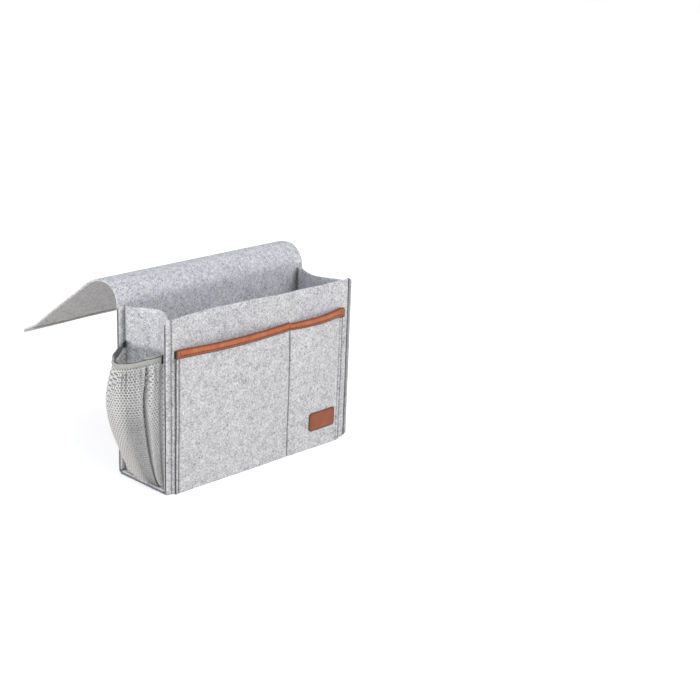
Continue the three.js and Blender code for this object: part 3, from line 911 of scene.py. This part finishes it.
def make_leather(name, deep, middle, pale, burnish_and_shade_tone):
    """Grained leather between three tones, with burnished cut edges and painted shade from the attribute
    edge.
    """
    material, tree, cloth, edge = cloth_material(name)
    pebbled = {"Vector": cloth, "Scale": 1 / (PEBBLE_SIZE * MM)}
    pebbles = add_node(tree, "TexVoronoi", pebbled).outputs["Distance"]
    clouded = {"Vector": cloth, "Scale": 1 / (HIDE_CLOUD * MM), "Detail": 5.0}
    clouds = add_node(tree, "TexNoise", clouded).outputs[0]
    hide = add_node(tree, "ValToRGB", {"Fac": clouds}, [(0.3, deep), (0.5, middle), (0.72, pale)]).outputs[0]
    # the attribute edge mixes in the burnished edges and the painted shade
    worn = add_node(tree, "Mix", {0: edge, 6: hide, 7: linear(burnish_and_shade_tone)}, data_type="RGBA").outputs[2]
    raised = {"Height": pebbles, "Strength": 0.35, "Distance": PEBBLE_HEIGHT * MM}
    grain = add_node(tree, "Bump", raised, invert=True).outputs[0]
    polish = add_node(tree, "MapRange", {"Value": pebbles, "To Min": 0.42, "To Max": 0.62}).outputs[0]
    surface = {"Base Color": worn, "Roughness": polish, "Normal": grain, "IOR": 1.48}
    shader = add_node(tree, "BsdfPrincipled", surface)
    add_node(tree, "OutputMaterial", {"Surface": shader.outputs[0]})
    return material


tan_leather = make_leather("tan grained leather", "#b05c34", "#c0693f", "#cd7d55", "#4e2817")
brown_leather = make_leather("brown pressed leather", "#8a4a2c", "#965133", "#a25e3f", "#43251a")
print("leather:", tan_leather.name, "and", brown_leather.name)

# %% [markdown]
# ## Edging of the pockets
# A strip of leather is folded over the pockets' upper edge and sewn through. It starts as a flat strip
# across the front, and its length runs up the outer leaf, over the fold and down the inner leaf. The
# divider seam pinches it, its fold follows the step of the felt there and waves a little, and its right end
# flares.

# %% Edging
FOLD_RADIUS = FELT / 2 + GAP + LEATHER / 2
fold_length = FOLD_RADIUS * math.pi
leaf = trim_high.z - trim_low.z - FOLD_RADIUS - LEATHER / 2
trim_seam = seam_of("trim_thread").z - trim_low.z
LEATHER_RIM = 0.3
PINCH_DEPTH = 0.7
PINCH_DROP = 0.4
PINCH_WIDTH = 7
LEAF_PUFF = 0.35
FLARE = 1.6
FLARE_LENGTH = 14
FOLD_WAVE = 0.6
FOLD_WAVE_LENGTH = 40
CUT_EDGE_SHADE = 1.2
END_SHADE_WIDTH = 1.8
# TRIM_SEAM_SHADE and TOP_FOLD_SHADE are painted shade along the seam and on the fold
TRIM_SEAM_SHADE = 0.45
TRIM_SEAM_WIDTH = 0.9
TOP_FOLD_SHADE = 0.8


def place_edging(x, v, w):
    round_fold = FOLD_RADIUS + w - LEATHER / 2
    angle = clamp((v - leaf) / FOLD_RADIUS, 0, math.pi)
    up = min(v, leaf) - max(0.0, v - leaf - fold_length)
    pinch = math.exp(-(((x - pocket_seams[1]) / PINCH_WIDTH) ** 2))
    puff = LEAF_PUFF * math.sin(math.pi * clamp(v / leaf)) * (1 - pinch)
    flare = clamp((x - pocket_seams[2] + FLARE_LENGTH) / FLARE_LENGTH) * FLARE * (1 - clamp(v / leaf))
    wave = FOLD_WAVE * noise.noise(Vector((x / FOLD_WAVE_LENGTH, 2.2, 0))) - PINCH_DROP * pinch - top_step(x)
    z = trim_low.z + up + round_fold * math.sin(angle) + wave * up / leaf - flare
    return on_pocket(x, FELT / 2 + round_fold * math.cos(angle) + puff - PINCH_DEPTH * pinch, z)


def shade_edging(p):
    """Burnished dark at the cut edge and the two ends; painted shade along the seam and on the fold."""
    from_end = min(p.x - trim_low.x, trim_high.x - p.x)
    cut_edge = CUT_EDGE_SHADE * (1 - min(p.y, from_end / END_SHADE_WIDTH))
    seam = TRIM_SEAM_SHADE * math.exp(-(((p.y - trim_seam) / TRIM_SEAM_WIDTH) ** 2))
    fold = TOP_FOLD_SHADE * smooth_step((p.y - leaf) / FOLD_RADIUS)
    return max(cut_edge, seam, fold)


edging_flat = (trim_high.x - trim_low.x, 2 * leaf + fold_length)
cut = flat_cut((trim_low.x, trim_high.x), (0, edging_flat[1]))
edging_rows = [trim_seam - 0.8, trim_seam, trim_seam + 0.8, leaf * 0.55, leaf * 0.8, leaf]
edging_rows += [leaf + fold_length * i / 8 for i in range(1, 9)]
edging_rows += [leaf * 1.5 + fold_length]
edging_columns = bend_lines(trim_low.x + END_STEP, trim_high.x - END_STEP, step=4, seams=[pocket_seams[1]])
slice_cloth(cut, edging_columns, edging_rows)
thicken(cut, LEATHER, LEATHER_RIM)
mark_darkening(cut, shade_edging)
lay_cloth(cut, place_edging)
edging = add_piece("leather_edging", cut, tan_leather, ["pocket_trim"], "caddy")

# %% [markdown]
# ## Patch
# The patch is a small leather rectangle with round corners. A line was pressed into it just inside its
# edge: the first inset of its face leaves the edge, the second one is pushed down and the third brought
# back up.

# %% Patch
patch_low, patch_high = node_box("label_patch")
PATCH_RADIUS = 4.5
LINE_INSET = 1.6
LINE_WIDTH = 0.9
LINE_DEPTH = 0.3
LINE_MIDDLE = 2.2  # distance of the pressed line from the outline
LINE_SHADE = 0.4
LINE_SHADE_WIDTH = 0.5
PATCH_EDGE_SHADE = 1.1
PATCH_EDGE_WIDTH = 1.2


def from_patch_edge(point):
    """Distance of a place on the flat patch from its outline."""
    half = (patch_high - patch_low) / 2
    x = abs(point.x - (patch_low.x + half.x)) - half.x + PATCH_RADIUS
    z = abs(point.y - (patch_low.z + half.z)) - half.z + PATCH_RADIUS
    return PATCH_RADIUS - math.hypot(max(x, 0), max(z, 0)) - min(max(x, z), 0)


def shade_patch(p):
    """Dark at the cut edge, and a little in the pressed line."""
    inside = from_patch_edge(p)
    line = LINE_SHADE * (1 - abs(inside - LINE_MIDDLE) / LINE_SHADE_WIDTH)
    return max(PATCH_EDGE_SHADE - inside / PATCH_EDGE_WIDTH, line)


cut = flat_cut((patch_low.x, patch_high.x), (patch_low.z, patch_high.z), PATCH_RADIUS)
thicken(cut, LEATHER, LEATHER_RIM)
face = max(cut.faces, key=lambda f: f.calc_center_median().z)
for width, depth in ((LINE_INSET, 0), (LINE_WIDTH / 2, -LINE_DEPTH), (LINE_WIDTH / 2, LINE_DEPTH)):
    bmesh.ops.inset_region(cut, faces=[face], thickness=width, depth=depth)
slice_cloth(
    cut,
    bend_lines(patch_low.x + RIM_STEP, patch_high.x - RIM_STEP, step=4),
    bend_lines(patch_low.z + RIM_STEP, patch_high.z - RIM_STEP, step=5),
)
mark_darkening(cut, shade_patch)
lay_cloth(cut, lambda x, z, w: on_pocket(x, FELT + GAP + w, z), pattern_start=700)
patch = add_piece("leather_patch", cut, brown_leather, ["label_patch"], "caddy")

# %% [markdown]
# ## Net bag
# The bag on the left side is warp-knitted polyester net, with round holes packed like a honeycomb. It ends
# on the side's wall and is gathered by elastic at its mouth, so a deep pleat runs down near its front and
# small folds hang under the mouth. Behind the pleat the net is pulled open, and its holes are wider there.
# The cells are hexagons that are doubled again and again into a wide field, trimmed to a rectangle, and
# each one is inset and its middle taken out. The field is then wrapped on the bag's own form.

# %% Pleats and folds of the bag
net_foot = node_box("mesh_pocket")[0].z
band_low, band_high = node_box("pocket_binding")
net_top = band_high.z - 3  # under the binding
BINDING_HEIGHT = 6.5
binding_foot = band_high.z - BINDING_HEIGHT
PLEATS = (  # share along the mouth, depth (below 0 it stands out), width towards the front and the rear
    (0.125, 10.0, 0.010, 0.012),
    (0.1, -3.0, 0.025, 0.012),
    (0.024, 4.5, 0.013, 0.013),
)
PLEAT_SLANT = 0.2
SLANT_START = 120
SLANT_LENGTH = 60
PLEAT_FOOT = 0.35  # share of its depth that a pleat has at the foot
PLEAT_FOOT_FADE = 40
PLEAT_MOUTH_LOSS = 0.9  # share of its depth that a pleat loses under the binding
PLEAT_MOUTH_FADE = 16
MOUTH_FOLD = 2.6  # depth of small folds under the mouth and at the foot
MOUTH_FOLD_FADE = 34
MOUTH_FOLD_START = 12
FOOT_FOLD = 1.0
FOOT_FOLD_FADE = 18
UNEVEN_FOLDS = 26  # cells of noise round the bag, and the height of one
UNEVEN_FOLD_HEIGHT = 130
EVEN_FOLD = 0.8
EVEN_FOLD_TURN = 140  # radians of a sine round the bag
DRAPE = 2.4
DRAPE_FOLDS = 9
DRAPE_HEIGHT = 260


def along_pleat(at, height):
    """Where a pleat lies at a height: nearer the front under the mouth."""
    return at * (1 - PLEAT_SLANT * smooth_step((height - SLANT_START) / SLANT_LENGTH))


def small_folds(share, height):
    """Small folds of the net, under the binding and at the foot."""
    below = max(0.0, binding_foot - height)
    near_mouth = math.exp(-below / MOUTH_FOLD_FADE) * smooth_step(below / MOUTH_FOLD_START)
    near_foot = math.exp(-max(0.0, height - net_foot) / FOOT_FOLD_FADE)
    folds = noise.noise(Vector((share * UNEVEN_FOLDS, 0.0, height / UNEVEN_FOLD_HEIGHT)))
    folds += EVEN_FOLD * math.sin(share * EVEN_FOLD_TURN)
    return folds * (MOUTH_FOLD * near_mouth + FOOT_FOLD * near_foot)


def gathers(share, height):
    """How far the net lies inside its full form: its pleats, its small folds and a slow drape."""
    deep = 0.0
    for at, depth, front, rear in PLEATS:
        past = share - along_pleat(at, height)
        deep += depth * math.exp(-((past / (rear if past > 0 else front)) ** 2))
    deep *= PLEAT_FOOT + (1 - PLEAT_FOOT) * clamp((height - net_foot) / PLEAT_FOOT_FADE)
    under_binding = (height - binding_foot + PLEAT_MOUTH_FADE) / PLEAT_MOUTH_FADE
    deep *= 1 - PLEAT_MOUTH_LOSS * smooth_step(under_binding)
    drape = noise.noise(Vector((share * DRAPE_FOLDS, 6.0, height / DRAPE_HEIGHT)))
    return deep + small_folds(share, height) + DRAPE * drape


print("deep pleat:", round(gathers(PLEATS[0][0], (net_foot + net_top) / 2), 1), "mm half way up")

# %% Form of the bag
NET = 1.0
NET_X = gusset_x + 1.6
NET_FRONT_Y = -37.4
NET_REAR_Y = clear_y - GAP - 0.5
MOUTH_FRONT = 101.0  # reach of the two handles of the curve that the mouth makes in plan
MOUTH_FRONT_LEAN = 4.4
MOUTH_REAR = 32.3
MOUTH_REAR_Y = 32.8
MOUTH_DROOP = 7.8
NET_SWELL = 51.4  # how much further the rear handle reaches where the bag is fullest
NET_SWELL_RISE = 1.2
NET_SPRING = 0.36  # below 1 the bag swells out quickly above its foot
SEWN_ENDS = 0.02  # share at each end of the net, and up from its foot, where it can't gather
SEWN_FOOT = 0.06
LONG_LINE = 0.35  # share round the bag at which its height along the net is measured


def on_net(share, outward, height):
    """A place on the bag: share runs from its front seam to its rear seam."""
    up = clamp((height - net_foot) / (band_low.z - net_foot))
    full = up**NET_SPRING
    rear = MOUTH_REAR + NET_SWELL * math.sin(math.pi * up**NET_SWELL_RISE)
    a = Vector((0, NET_FRONT_Y))
    b = Vector((MOUTH_FRONT * full, NET_FRONT_Y + MOUTH_FRONT_LEAN))
    c = Vector((rear * full, MOUTH_REAR_Y))
    d = Vector((0, NET_REAR_Y))
    rest = 1 - share
    point = a * rest**3 + b * 3 * rest**2 * share + c * 3 * rest * share**2 + d * share**3
    along = ((b - a) * rest**2 + (c - b) * 2 * rest * share + (d - c) * share**2).normalized()
    ends = clamp(min(share, rest) / SEWN_ENDS)
    outward -= gathers(share, height) * ends * clamp(up / SEWN_FOOT)
    wall = NET_X - side_fold(-1, NET_FRONT_Y, height) * rest**6
    droop = MOUTH_DROOP * math.sin(math.pi * share) * up**3
    return Vector((-wall - point.x - outward * along.y, point.y - outward * along.x, height - droop))


def walk(place, steps=200):
    """Lengths along a line of places for shares from 0 to 1."""
    points = [place(i / steps) for i in range(steps + 1)]
    lengths = [0.0]
    for before, after in zip(points, points[1:]):
        lengths.append(lengths[-1] + (after - before).length)
    return lengths


def share_at(lengths, length):
    """The share at which a walk has come that far."""
    i = next((i for i, walked in enumerate(lengths) if walked > length), len(lengths) - 1)
    step = lengths[i] - lengths[i - 1]
    return (i - 1 + clamp((length - lengths[i - 1]) / step)) / (len(lengths) - 1)


around = walk(lambda share: on_net(share, 0, (net_foot + net_top) / 2))
upward = walk(lambda share: on_net(LONG_LINE, 0, net_foot + share * (net_top - net_foot)))
print("net cut:", round(around[-1]), "x", round(upward[-1]), "mm")

# %% Net material
KNIT_SIZE = 0.9  # loops of the knit, drawn coarser than real so that they show
YARN_HEIGHT = 0.3


def make_knit(name, colour, shade, deep, rough):
    """Knitted polyester yarn: soft sheen, small loops, uneven tone, and painted shade round its holes and in
    its folds.
    """
    material, tree, cloth, edge = cloth_material(name)
    looped = {"Vector": cloth, "Scale": 1 / (KNIT_SIZE * MM), "Detail": 3.0}
    loops = add_node(tree, "TexNoise", looped).outputs[0]
    knit = add_node(tree, "ValToRGB", {"Fac": loops}, [(0.3, shade), (0.65, colour)]).outputs[0]
    # deep is the tone of the painted shade that the attribute edge mixes in
    tone = add_node(tree, "Mix", {0: edge, 6: knit, 7: linear(deep)}, data_type="RGBA").outputs[2]
    yarn = add_node(tree, "Bump", {"Height": loops, "Strength": 0.4, "Distance": YARN_HEIGHT * MM}).outputs[0]
    worn = {"Value": loops, "To Min": rough - 0.1, "To Max": rough + 0.1}
    dull = add_node(tree, "MapRange", worn).outputs[0]
    surface = {"Base Color": tone, "Roughness": dull, "Normal": yarn, "Sheen Weight": 0.15}
    shader = add_node(tree, "BsdfPrincipled", surface)
    add_node(tree, "OutputMaterial", {"Surface": shader.outputs[0]})
    return material


net_knit = make_knit("knitted polyester net", "#fafaf9", "#e4e4e3", "#2c2c2e", 0.6)
print("net:", net_knit.name)

# %% Flat net
CELL = 4.0  # from hole to hole
WHOLE_CELL = 0.98 * CELL**2 * math.sqrt(3) / 2  # a smaller cell was trimmed and gets no hole


def honeycomb(width, length):
    """A field of hexagons trimmed to a rectangle."""
    bm = bmesh.new()
    bmesh.ops.create_circle(bm, cap_ends=True, segments=6, radius=CELL / math.sqrt(3))
    step_across = Vector((CELL, 0, 0))
    step_along = Vector((CELL / 2, CELL * math.sqrt(3) / 2, 0))
    for step, reach in ((step_across, width + length), (step_along, length)):
        done = 1
        while done * step.dot(step.normalized()) < reach + 4 * CELL:
            copied = bmesh.ops.duplicate(bm, geom=bm.verts[:] + bm.edges[:] + bm.faces[:])["geom"]
            moved = [item for item in copied if isinstance(item, bmesh.types.BMVert)]
            bmesh.ops.translate(bm, vec=step * done, verts=moved)
            done *= 2
    bmesh.ops.remove_doubles(bm, verts=bm.verts, dist=0.05)
    start = Vector((length / math.sqrt(3) + CELL, CELL, 0))
    bmesh.ops.translate(bm, vec=-start, verts=bm.verts)
    for point, normal in (
        ((0, 0, 0), (-1, 0, 0)),
        ((width, 0, 0), (1, 0, 0)),
        ((0, 0, 0), (0, -1, 0)),
        ((0, length, 0), (0, 1, 0)),
    ):
        everything = bm.verts[:] + bm.edges[:] + bm.faces[:]
        bmesh.ops.bisect_plane(bm, geom=everything, plane_co=point, plane_no=normal, clear_outer=True)
    return bm


cut = honeycomb(around[-1], upward[-1])
print("net cells:", len(cut.faces))

# %% Holes of the net and the bag
HOLE_WALLS = (0.78, 0.66, 0.52)  # half the width of the net between two holes, from slack to stretched net
STRETCH_AT = 0.09  # share behind the deep pleat at which the net is pulled open most
STRETCH_WIDTH = 0.1
STRETCH_TOP = 140  # above this height little of the stretch is left
STRETCH_RISE = 50
HIGH_STRETCH = 0.35
SLACK_HOLE_SHADE = 0.35  # painted shade on the rims of holes in slack net
PLEAT_SHADE_AT = 0.003  # the painted shadow line lies this much behind the bottom of the deep pleat
PLEAT_SHADE_WIDTH = 0.009
PLEAT_SHADE_FADE = 6  # it fades this far below the binding
# painted shade in the small folds
NET_FOLD_SHADE = 0.22


def net_spot(u, v):
    """The share round the bag and the height of a place on the flat net."""
    return share_at(around, u), net_foot + share_at(upward, v) * (net_top - net_foot)


def stretch(share, height):
    """How far the net is pulled open: most in a band behind the deep pleat, below the middle of the bag."""
    band = math.exp(-(((share - along_pleat(PLEATS[0][0], height) - STRETCH_AT) / STRETCH_WIDTH) ** 2))
    return band * (HIGH_STRETCH + (1 - HIGH_STRETCH) * smooth_step((STRETCH_TOP - height) / STRETCH_RISE))


def hole_kind(cell):
    """Which of the widths in HOLE_WALLS a cell of the flat net has."""
    pulled = stretch(*net_spot(*cell.calc_center_median().xy))
    return min(len(HOLE_WALLS) - 1, int(len(HOLE_WALLS) * pulled))


def shade_net(share, height, rim):
    """Painted shade in the deep pleat, in the small folds, and on the rims of holes, most of all of wide
    ones.
    """
    past = share - along_pleat(PLEATS[0][0], height) - PLEAT_SHADE_AT
    pleat = math.exp(-((past / PLEAT_SHADE_WIDTH) ** 2))
    pleat *= smooth_step((binding_foot - height) / PLEAT_SHADE_FADE)
    folds = NET_FOLD_SHADE * max(0.0, small_folds(share, height))
    rims = SLACK_HOLE_SHADE + (1 - SLACK_HOLE_SHADE) * stretch(share, height)
    return clamp(max(pleat, folds) + rim * rims)


def place_net(u, v, w):
    share, height = net_spot(u, v)
    return on_net(share, w - NET / 2, height)


# the attribute edge holds the net's painted shade
edge = cut.verts.layers.float.new("edge")
whole = [face for face in cut.faces if face.calc_area() > WHOLE_CELL]
for kind, wall in enumerate(HOLE_WALLS):
    bmesh.ops.inset_individual(cut, faces=[face for face in whole if hole_kind(face) == kind], thickness=wall)
for face in whole:
    for vert in face.verts:
        vert[edge] = 1.0
bmesh.ops.delete(cut, geom=whole, context="FACES")
for vert in cut.verts:
    vert[edge] = shade_net(*net_spot(vert.co.x, vert.co.y), vert[edge])
yarn_area = sum(face.calc_area() for face in cut.faces)
thicken(cut, NET)
lay_cloth(cut, place_net)
bmesh.ops.recalc_face_normals(cut, faces=cut.faces)
net_bag = add_piece("net_bag", cut, net_knit, ["mesh_pocket"], "caddy")

# %% [markdown]
# ## Mouth of the net
# A light woven tape is folded over the net's upper edge and gathered by a dark elastic that lies inside it.
# Both are ribbons that follow the mouth. Small crosswise ribs in their weave are drawn by a wave, at the
# spacing of the real ribs.

# %% Woven ribbons
WAVE_PERIOD = math.tau / 20  # length of one wave of the wave texture at a scale of 1
RIB_HEIGHT = 0.3


def make_ribbon(name, colour, shade, end, rib):
    """Woven tape with ribs across it, and with a tone of its own at its ends."""
    material, tree, cloth, edge = cloth_material(name)
    ribbed = {"Vector": cloth, "Scale": WAVE_PERIOD / (rib * MM), "Distortion": 0.6, "Detail": 1.0}
    ribs = add_node(tree, "TexWave", ribbed).outputs["Fac"]
    woven = add_node(tree, "ValToRGB", {"Fac": ribs}, [(0.1, shade), (0.8, colour)]).outputs[0]
    tone = add_node(tree, "Mix", {0: edge, 6: woven, 7: linear(end)}, data_type="RGBA").outputs[2]
    weave = add_node(tree, "Bump", {"Height": ribs, "Strength": 0.5, "Distance": RIB_HEIGHT * MM}).outputs[0]
    dull = add_node(tree, "MapRange", {"Value": ribs, "To Min": 0.9, "To Max": 0.7}).outputs[0]
    surface = {"Base Color": tone, "Roughness": dull, "Normal": weave, "Sheen Weight": 0.1}
    shader = add_node(tree, "BsdfPrincipled", surface)
    add_node(tree, "OutputMaterial", {"Surface": shader.outputs[0]})
    return material


tape = make_ribbon("woven polyester tape", "#b8b8b4", "#a2a29e", "#a2a29e", rib=1.6)
elastic = make_ribbon("woven rubber elastic", "#6a6a69", "#4c4c4c", "#242426", rib=1.8)
print("ribbons:", tape.name, "and", elastic.name)

# %% Binding and elastic
BAND = 1.0
BAND_RIM = 0.35
BAND_STEP = 1.2  # first bend line from a ribbon's edge
BINDING_ROLL = 1.3
BINDING_START = 0.042  # share along the mouth
BINDING_END = 0.93
ELASTIC_HEIGHT = 8.0
TAB_HEIGHT = 10.5
TAB_LENGTH = 8.0  # of the elastic's front end, which is turned round the net's edge
TAB_STANDOFF = 1.6
TAB_TURN = 2  # it comes round over this length
ELASTIC_ENDS = (1, 9)  # how far from the net's two ends the elastic is dark
band_face = NET / 2 + GAP
mouth = walk(lambda share: on_net(share, 0, band_high.z))
mouth_length = mouth[-1]


def place_binding(u, z, w):
    """The binding is rolled, so it is thickest half way up."""
    roll = BINDING_ROLL * math.sin(math.pi * (band_high.z - z) / BINDING_HEIGHT)
    return on_net(share_at(mouth, u), band_face + w + roll, z)


def place_elastic(u, z, w):
    """The elastic lies inside the net. Its front end, below zero, comes round the edge to the outside."""
    turned = clamp(0.5 - u / TAB_TURN)
    tall = 1 + (TAB_HEIGHT / ELASTIC_HEIGHT - 1) * smooth_step(-u / TAB_TURN)
    face = -band_face - BAND + w
    outward = face + turned * (TAB_STANDOFF - 2 * face)
    return on_net(share_at(mouth, abs(u)), outward, band_high.z - (band_high.z - z) * tall)


def add_ribbon(name, start, end, height, place, ends_at, material, node):
    """A ribbon along the mouth, with its bare ends dark outside two places."""
    foot = band_high.z - height
    cut = flat_cut((start, end), (foot, band_high.z))
    columns = bend_lines(start + BAND_STEP, end - BAND_STEP, step=1.6)
    slice_cloth(cut, columns, bend_lines(foot + BAND_STEP, band_high.z - BAND_STEP, step=1.4))
    thicken(cut, BAND, BAND_RIM)
    mark_darkening(cut, lambda p: smooth_step(ends_at[0] - p.x) + smooth_step(p.x - ends_at[1]))
    lay_cloth(cut, place)
    bmesh.ops.recalc_face_normals(cut, faces=cut.faces)
    ribbon = add_piece(name, cut, material, [node], "caddy")


add_ribbon(
    "net_binding",
    start=BINDING_START * mouth_length,
    end=BINDING_END * mouth_length,
    height=BINDING_HEIGHT,
    place=place_binding,
    ends_at=(0, mouth_length),
    material=tape,
    node="pocket_binding",
)
add_ribbon(
    "net_elastic",
    start=-TAB_LENGTH,
    end=mouth_length,
    height=ELASTIC_HEIGHT,
    place=place_elastic,
    ends_at=(ELASTIC_ENDS[0], mouth_length - ELASTIC_ENDS[1]),
    material=elastic,
    node="pocket_elastic",
)

# %% [markdown]
# ## Grip strip
# A smooth strip is sewn under the end of the flap so that it doesn't creep out from under the mattress. It
# is coated cloth with fine ribs across the flap, a tone darker than the felt.

# %% Grip strip
grip_cloth = make_ribbon("coated ribbed grip cloth", "#cdccc8", "#bab9b5", "#bab9b5", rib=2.4)
GRIP = 1.4
GRIP_RIM = 0.6
GRIP_RADIUS = 3
GRIP_STEP = 4  # first bend line from its edge
GRIP_WIDTH = 30.0
GRIP_INSET = 1.0
grip_end = strip_end - GRIP_INSET
grip_half = panel_x - GRIP_INSET


def place_grip(s, x, w):
    return place_strip(x, s, -GAP - GRIP + w)


cut = flat_cut((grip_end - GRIP_WIDTH, grip_end), (-grip_half, grip_half), GRIP_RADIUS)
slice_cloth(
    cut,
    bend_lines(grip_end - GRIP_WIDTH + GRIP_STEP, grip_end - GRIP_STEP, step=5),
    bend_lines(-grip_half + GRIP_STEP, grip_half - GRIP_STEP, step=9),
)
thicken(cut, GRIP, GRIP_RIM)
lay_cloth(cut, place_grip)
bmesh.ops.recalc_face_normals(cut, faces=cut.faces)
grip_strip = add_piece("grip_strip", cut, grip_cloth, ["flap_grip_strip"], "flap_tail")

# %% [markdown]
# ## Stitches
# All seams are lockstitched with twisted polyester thread, grey in the felt and dark brown in the leather
# edging, so a row of short dashes shows on each face. One stitch is a small flattened ball, stretched along
# the seam and sunk a little into the felt. Each row is one object, in the place of the solid that stands
# for it.

# %% Thread material
PLY_SIZE = 0.5
PLY_HEIGHT = 0.1


def make_thread(name, colour, shade):
    """Twisted thread: slanting plies across each stitch."""
    material, tree = new_material(name)
    cloth = add_node(tree, "Attribute", attribute_name="cloth").outputs["Vector"]
    plies = {"Vector": cloth, "Scale": WAVE_PERIOD / (PLY_SIZE * MM), "Distortion": 0.3}
    twist = add_node(tree, "TexWave", plies, bands_direction="DIAGONAL").outputs["Fac"]
    tone = add_node(tree, "ValToRGB", {"Fac": twist}, [(0.1, shade), (0.8, colour)]).outputs[0]
    ply = add_node(tree, "Bump", {"Height": twist, "Strength": 0.4, "Distance": PLY_HEIGHT * MM}).outputs[0]
    dull = add_node(tree, "MapRange", {"Value": twist, "To Min": 0.75, "To Max": 0.55}).outputs[0]
    shader = add_node(tree, "BsdfPrincipled", {"Base Color": tone, "Roughness": dull, "Normal": ply})
    add_node(tree, "OutputMaterial", {"Surface": shader.outputs[0]})
    return material


grey_thread = make_thread("twisted grey thread", "#77787d", "#595a5f")
brown_thread = make_thread("twisted brown thread", "#3a2014", "#26140c")
print("thread:", grey_thread.name, "and", brown_thread.name)

# %% Sewing
STITCH = 3.2
STITCH_PITCH = 4.4
STITCH_WIDTH = 1.0
STITCH_HEIGHT = 0.8
STITCH_RISE = 0.3  # share of its height by which the middle of a stitch lies above the bottom of a dip
STITCH_END = 4.0  # bare felt at the ends of a seam
FORWARD = Vector((0, -1, 0))
BACKWARD = Vector((0, 1, 0))
UPWARD = Vector((0, 0, 1))
stitch_sink = SEAM_DIP - STITCH_HEIGHT * STITCH_RISE


def sew(name, node, rows, material, body="caddy", width=STITCH_WIDTH):
    """Rows of stitches: for each a function from a length to a place, its first and last length, and out."""
    bm = bmesh.new()
    cloth = bm.verts.layers.float_vector.new("cloth")
    for place, first, last, out in rows:
        count = int((last - first) / STITCH_PITCH)
        for i in range(count):
            middle = first + (last - first) * (i + 0.5) / count
            start, end = place(middle - STITCH / 2), place(middle + STITCH / 2)
            run = (end - start).normalized()
            side = run.cross(out).normalized()
            up = side.cross(run)
            axes = Matrix((side * width / 2, up * STITCH_HEIGHT / 2, run * STITCH / 2)).transposed()
            matrix = Matrix.Translation((start + end) / 2) @ axes.to_4x4()
            ball = bmesh.ops.create_uvsphere(bm, u_segments=6, v_segments=4, radius=1, matrix=matrix)
            for v in ball["verts"]:
                v[cloth] = v.co * MM
    add_piece(name, bm, material, [node], body)


print("stitches", STITCH, "mm long,", STITCH_PITCH, "mm apart")

# %% Seams of the box
FLANGE_SEAM_SHIFT = 2.5  # the back's seams show this much further out on the flanges of the sides

for name, side in (("left", -1), ("right", 1)):
    x = side * seam_x
    flange_x = x + FLANGE_SEAM_SHIFT * side
    low, high = node_box("base_thread_" + name)
    base_x = (low.x + high.x) / 2
    front_row = (lambda z: on_front(x, -stitch_sink, z), STITCH_END, front_top - STITCH_END, FORWARD)
    back_row = (lambda z: on_strip(x, z, stitch_sink - FELT / 2), STITCH_END, side_top - STITCH_END, BACKWARD)
    flange_row = (lambda z: Vector((flange_x, clear_y, z)), 2 * STITCH_END, side_top - STITCH_END, FORWARD)
    base_row = (lambda y: Vector((base_x, y, low.z - GAP + corner_lift(base_x, y))), low.y, high.y, UPWARD)
    sew("stitches_front_" + name, "front_thread_" + name, [front_row], grey_thread)
    sew("stitches_back_" + name, "back_thread_" + name, [back_row, flange_row], grey_thread)
    sew("stitches_base_" + name, "base_thread_" + name, [base_row], grey_thread)

# %% Seams of the pockets, the edging and the grip strip
EDGING_STITCH_WIDTH = 1.5
TACK_END = 2  # the tacks across the edging run this far onto its fold
GRIP_SEAM = 3  # from the edges of the grip strip
GRIP_STITCH_OUT = 0.1  # the middle of its stitches lies this far above the flap

for name, x in zip(("left", "middle", "right"), pocket_seams):
    row = (lambda z: on_pocket(x, FELT - stitch_sink, z), STITCH_END, trim_low.z - 1, FORWARD)
    sew("stitches_pocket_" + name, "pocket_thread_" + name, [row], grey_thread)

rows = [(lambda x: place_edging(x, trim_seam, LEATHER), pocket_seams[0], pocket_seams[2], FORWARD)]
for x in pocket_seams:
    rows.append((lambda v, x=x: place_edging(x, v, LEATHER), trim_seam, leaf + TACK_END, FORWARD))
sew("stitches_edging", "trim_thread", rows, brown_thread, width=EDGING_STITCH_WIDTH)

reach = grip_half - STITCH_END
for name, s in (("inner", grip_end - GRIP_WIDTH + GRIP_SEAM), ("outer", grip_end - GRIP_SEAM)):
    row = (lambda x: place_strip(x, s, FELT + GRIP_STITCH_OUT), -reach, reach, UPWARD)
    sew("stitches_grip_" + name, "grip_thread_" + name, [row], grey_thread, body="flap_tail")
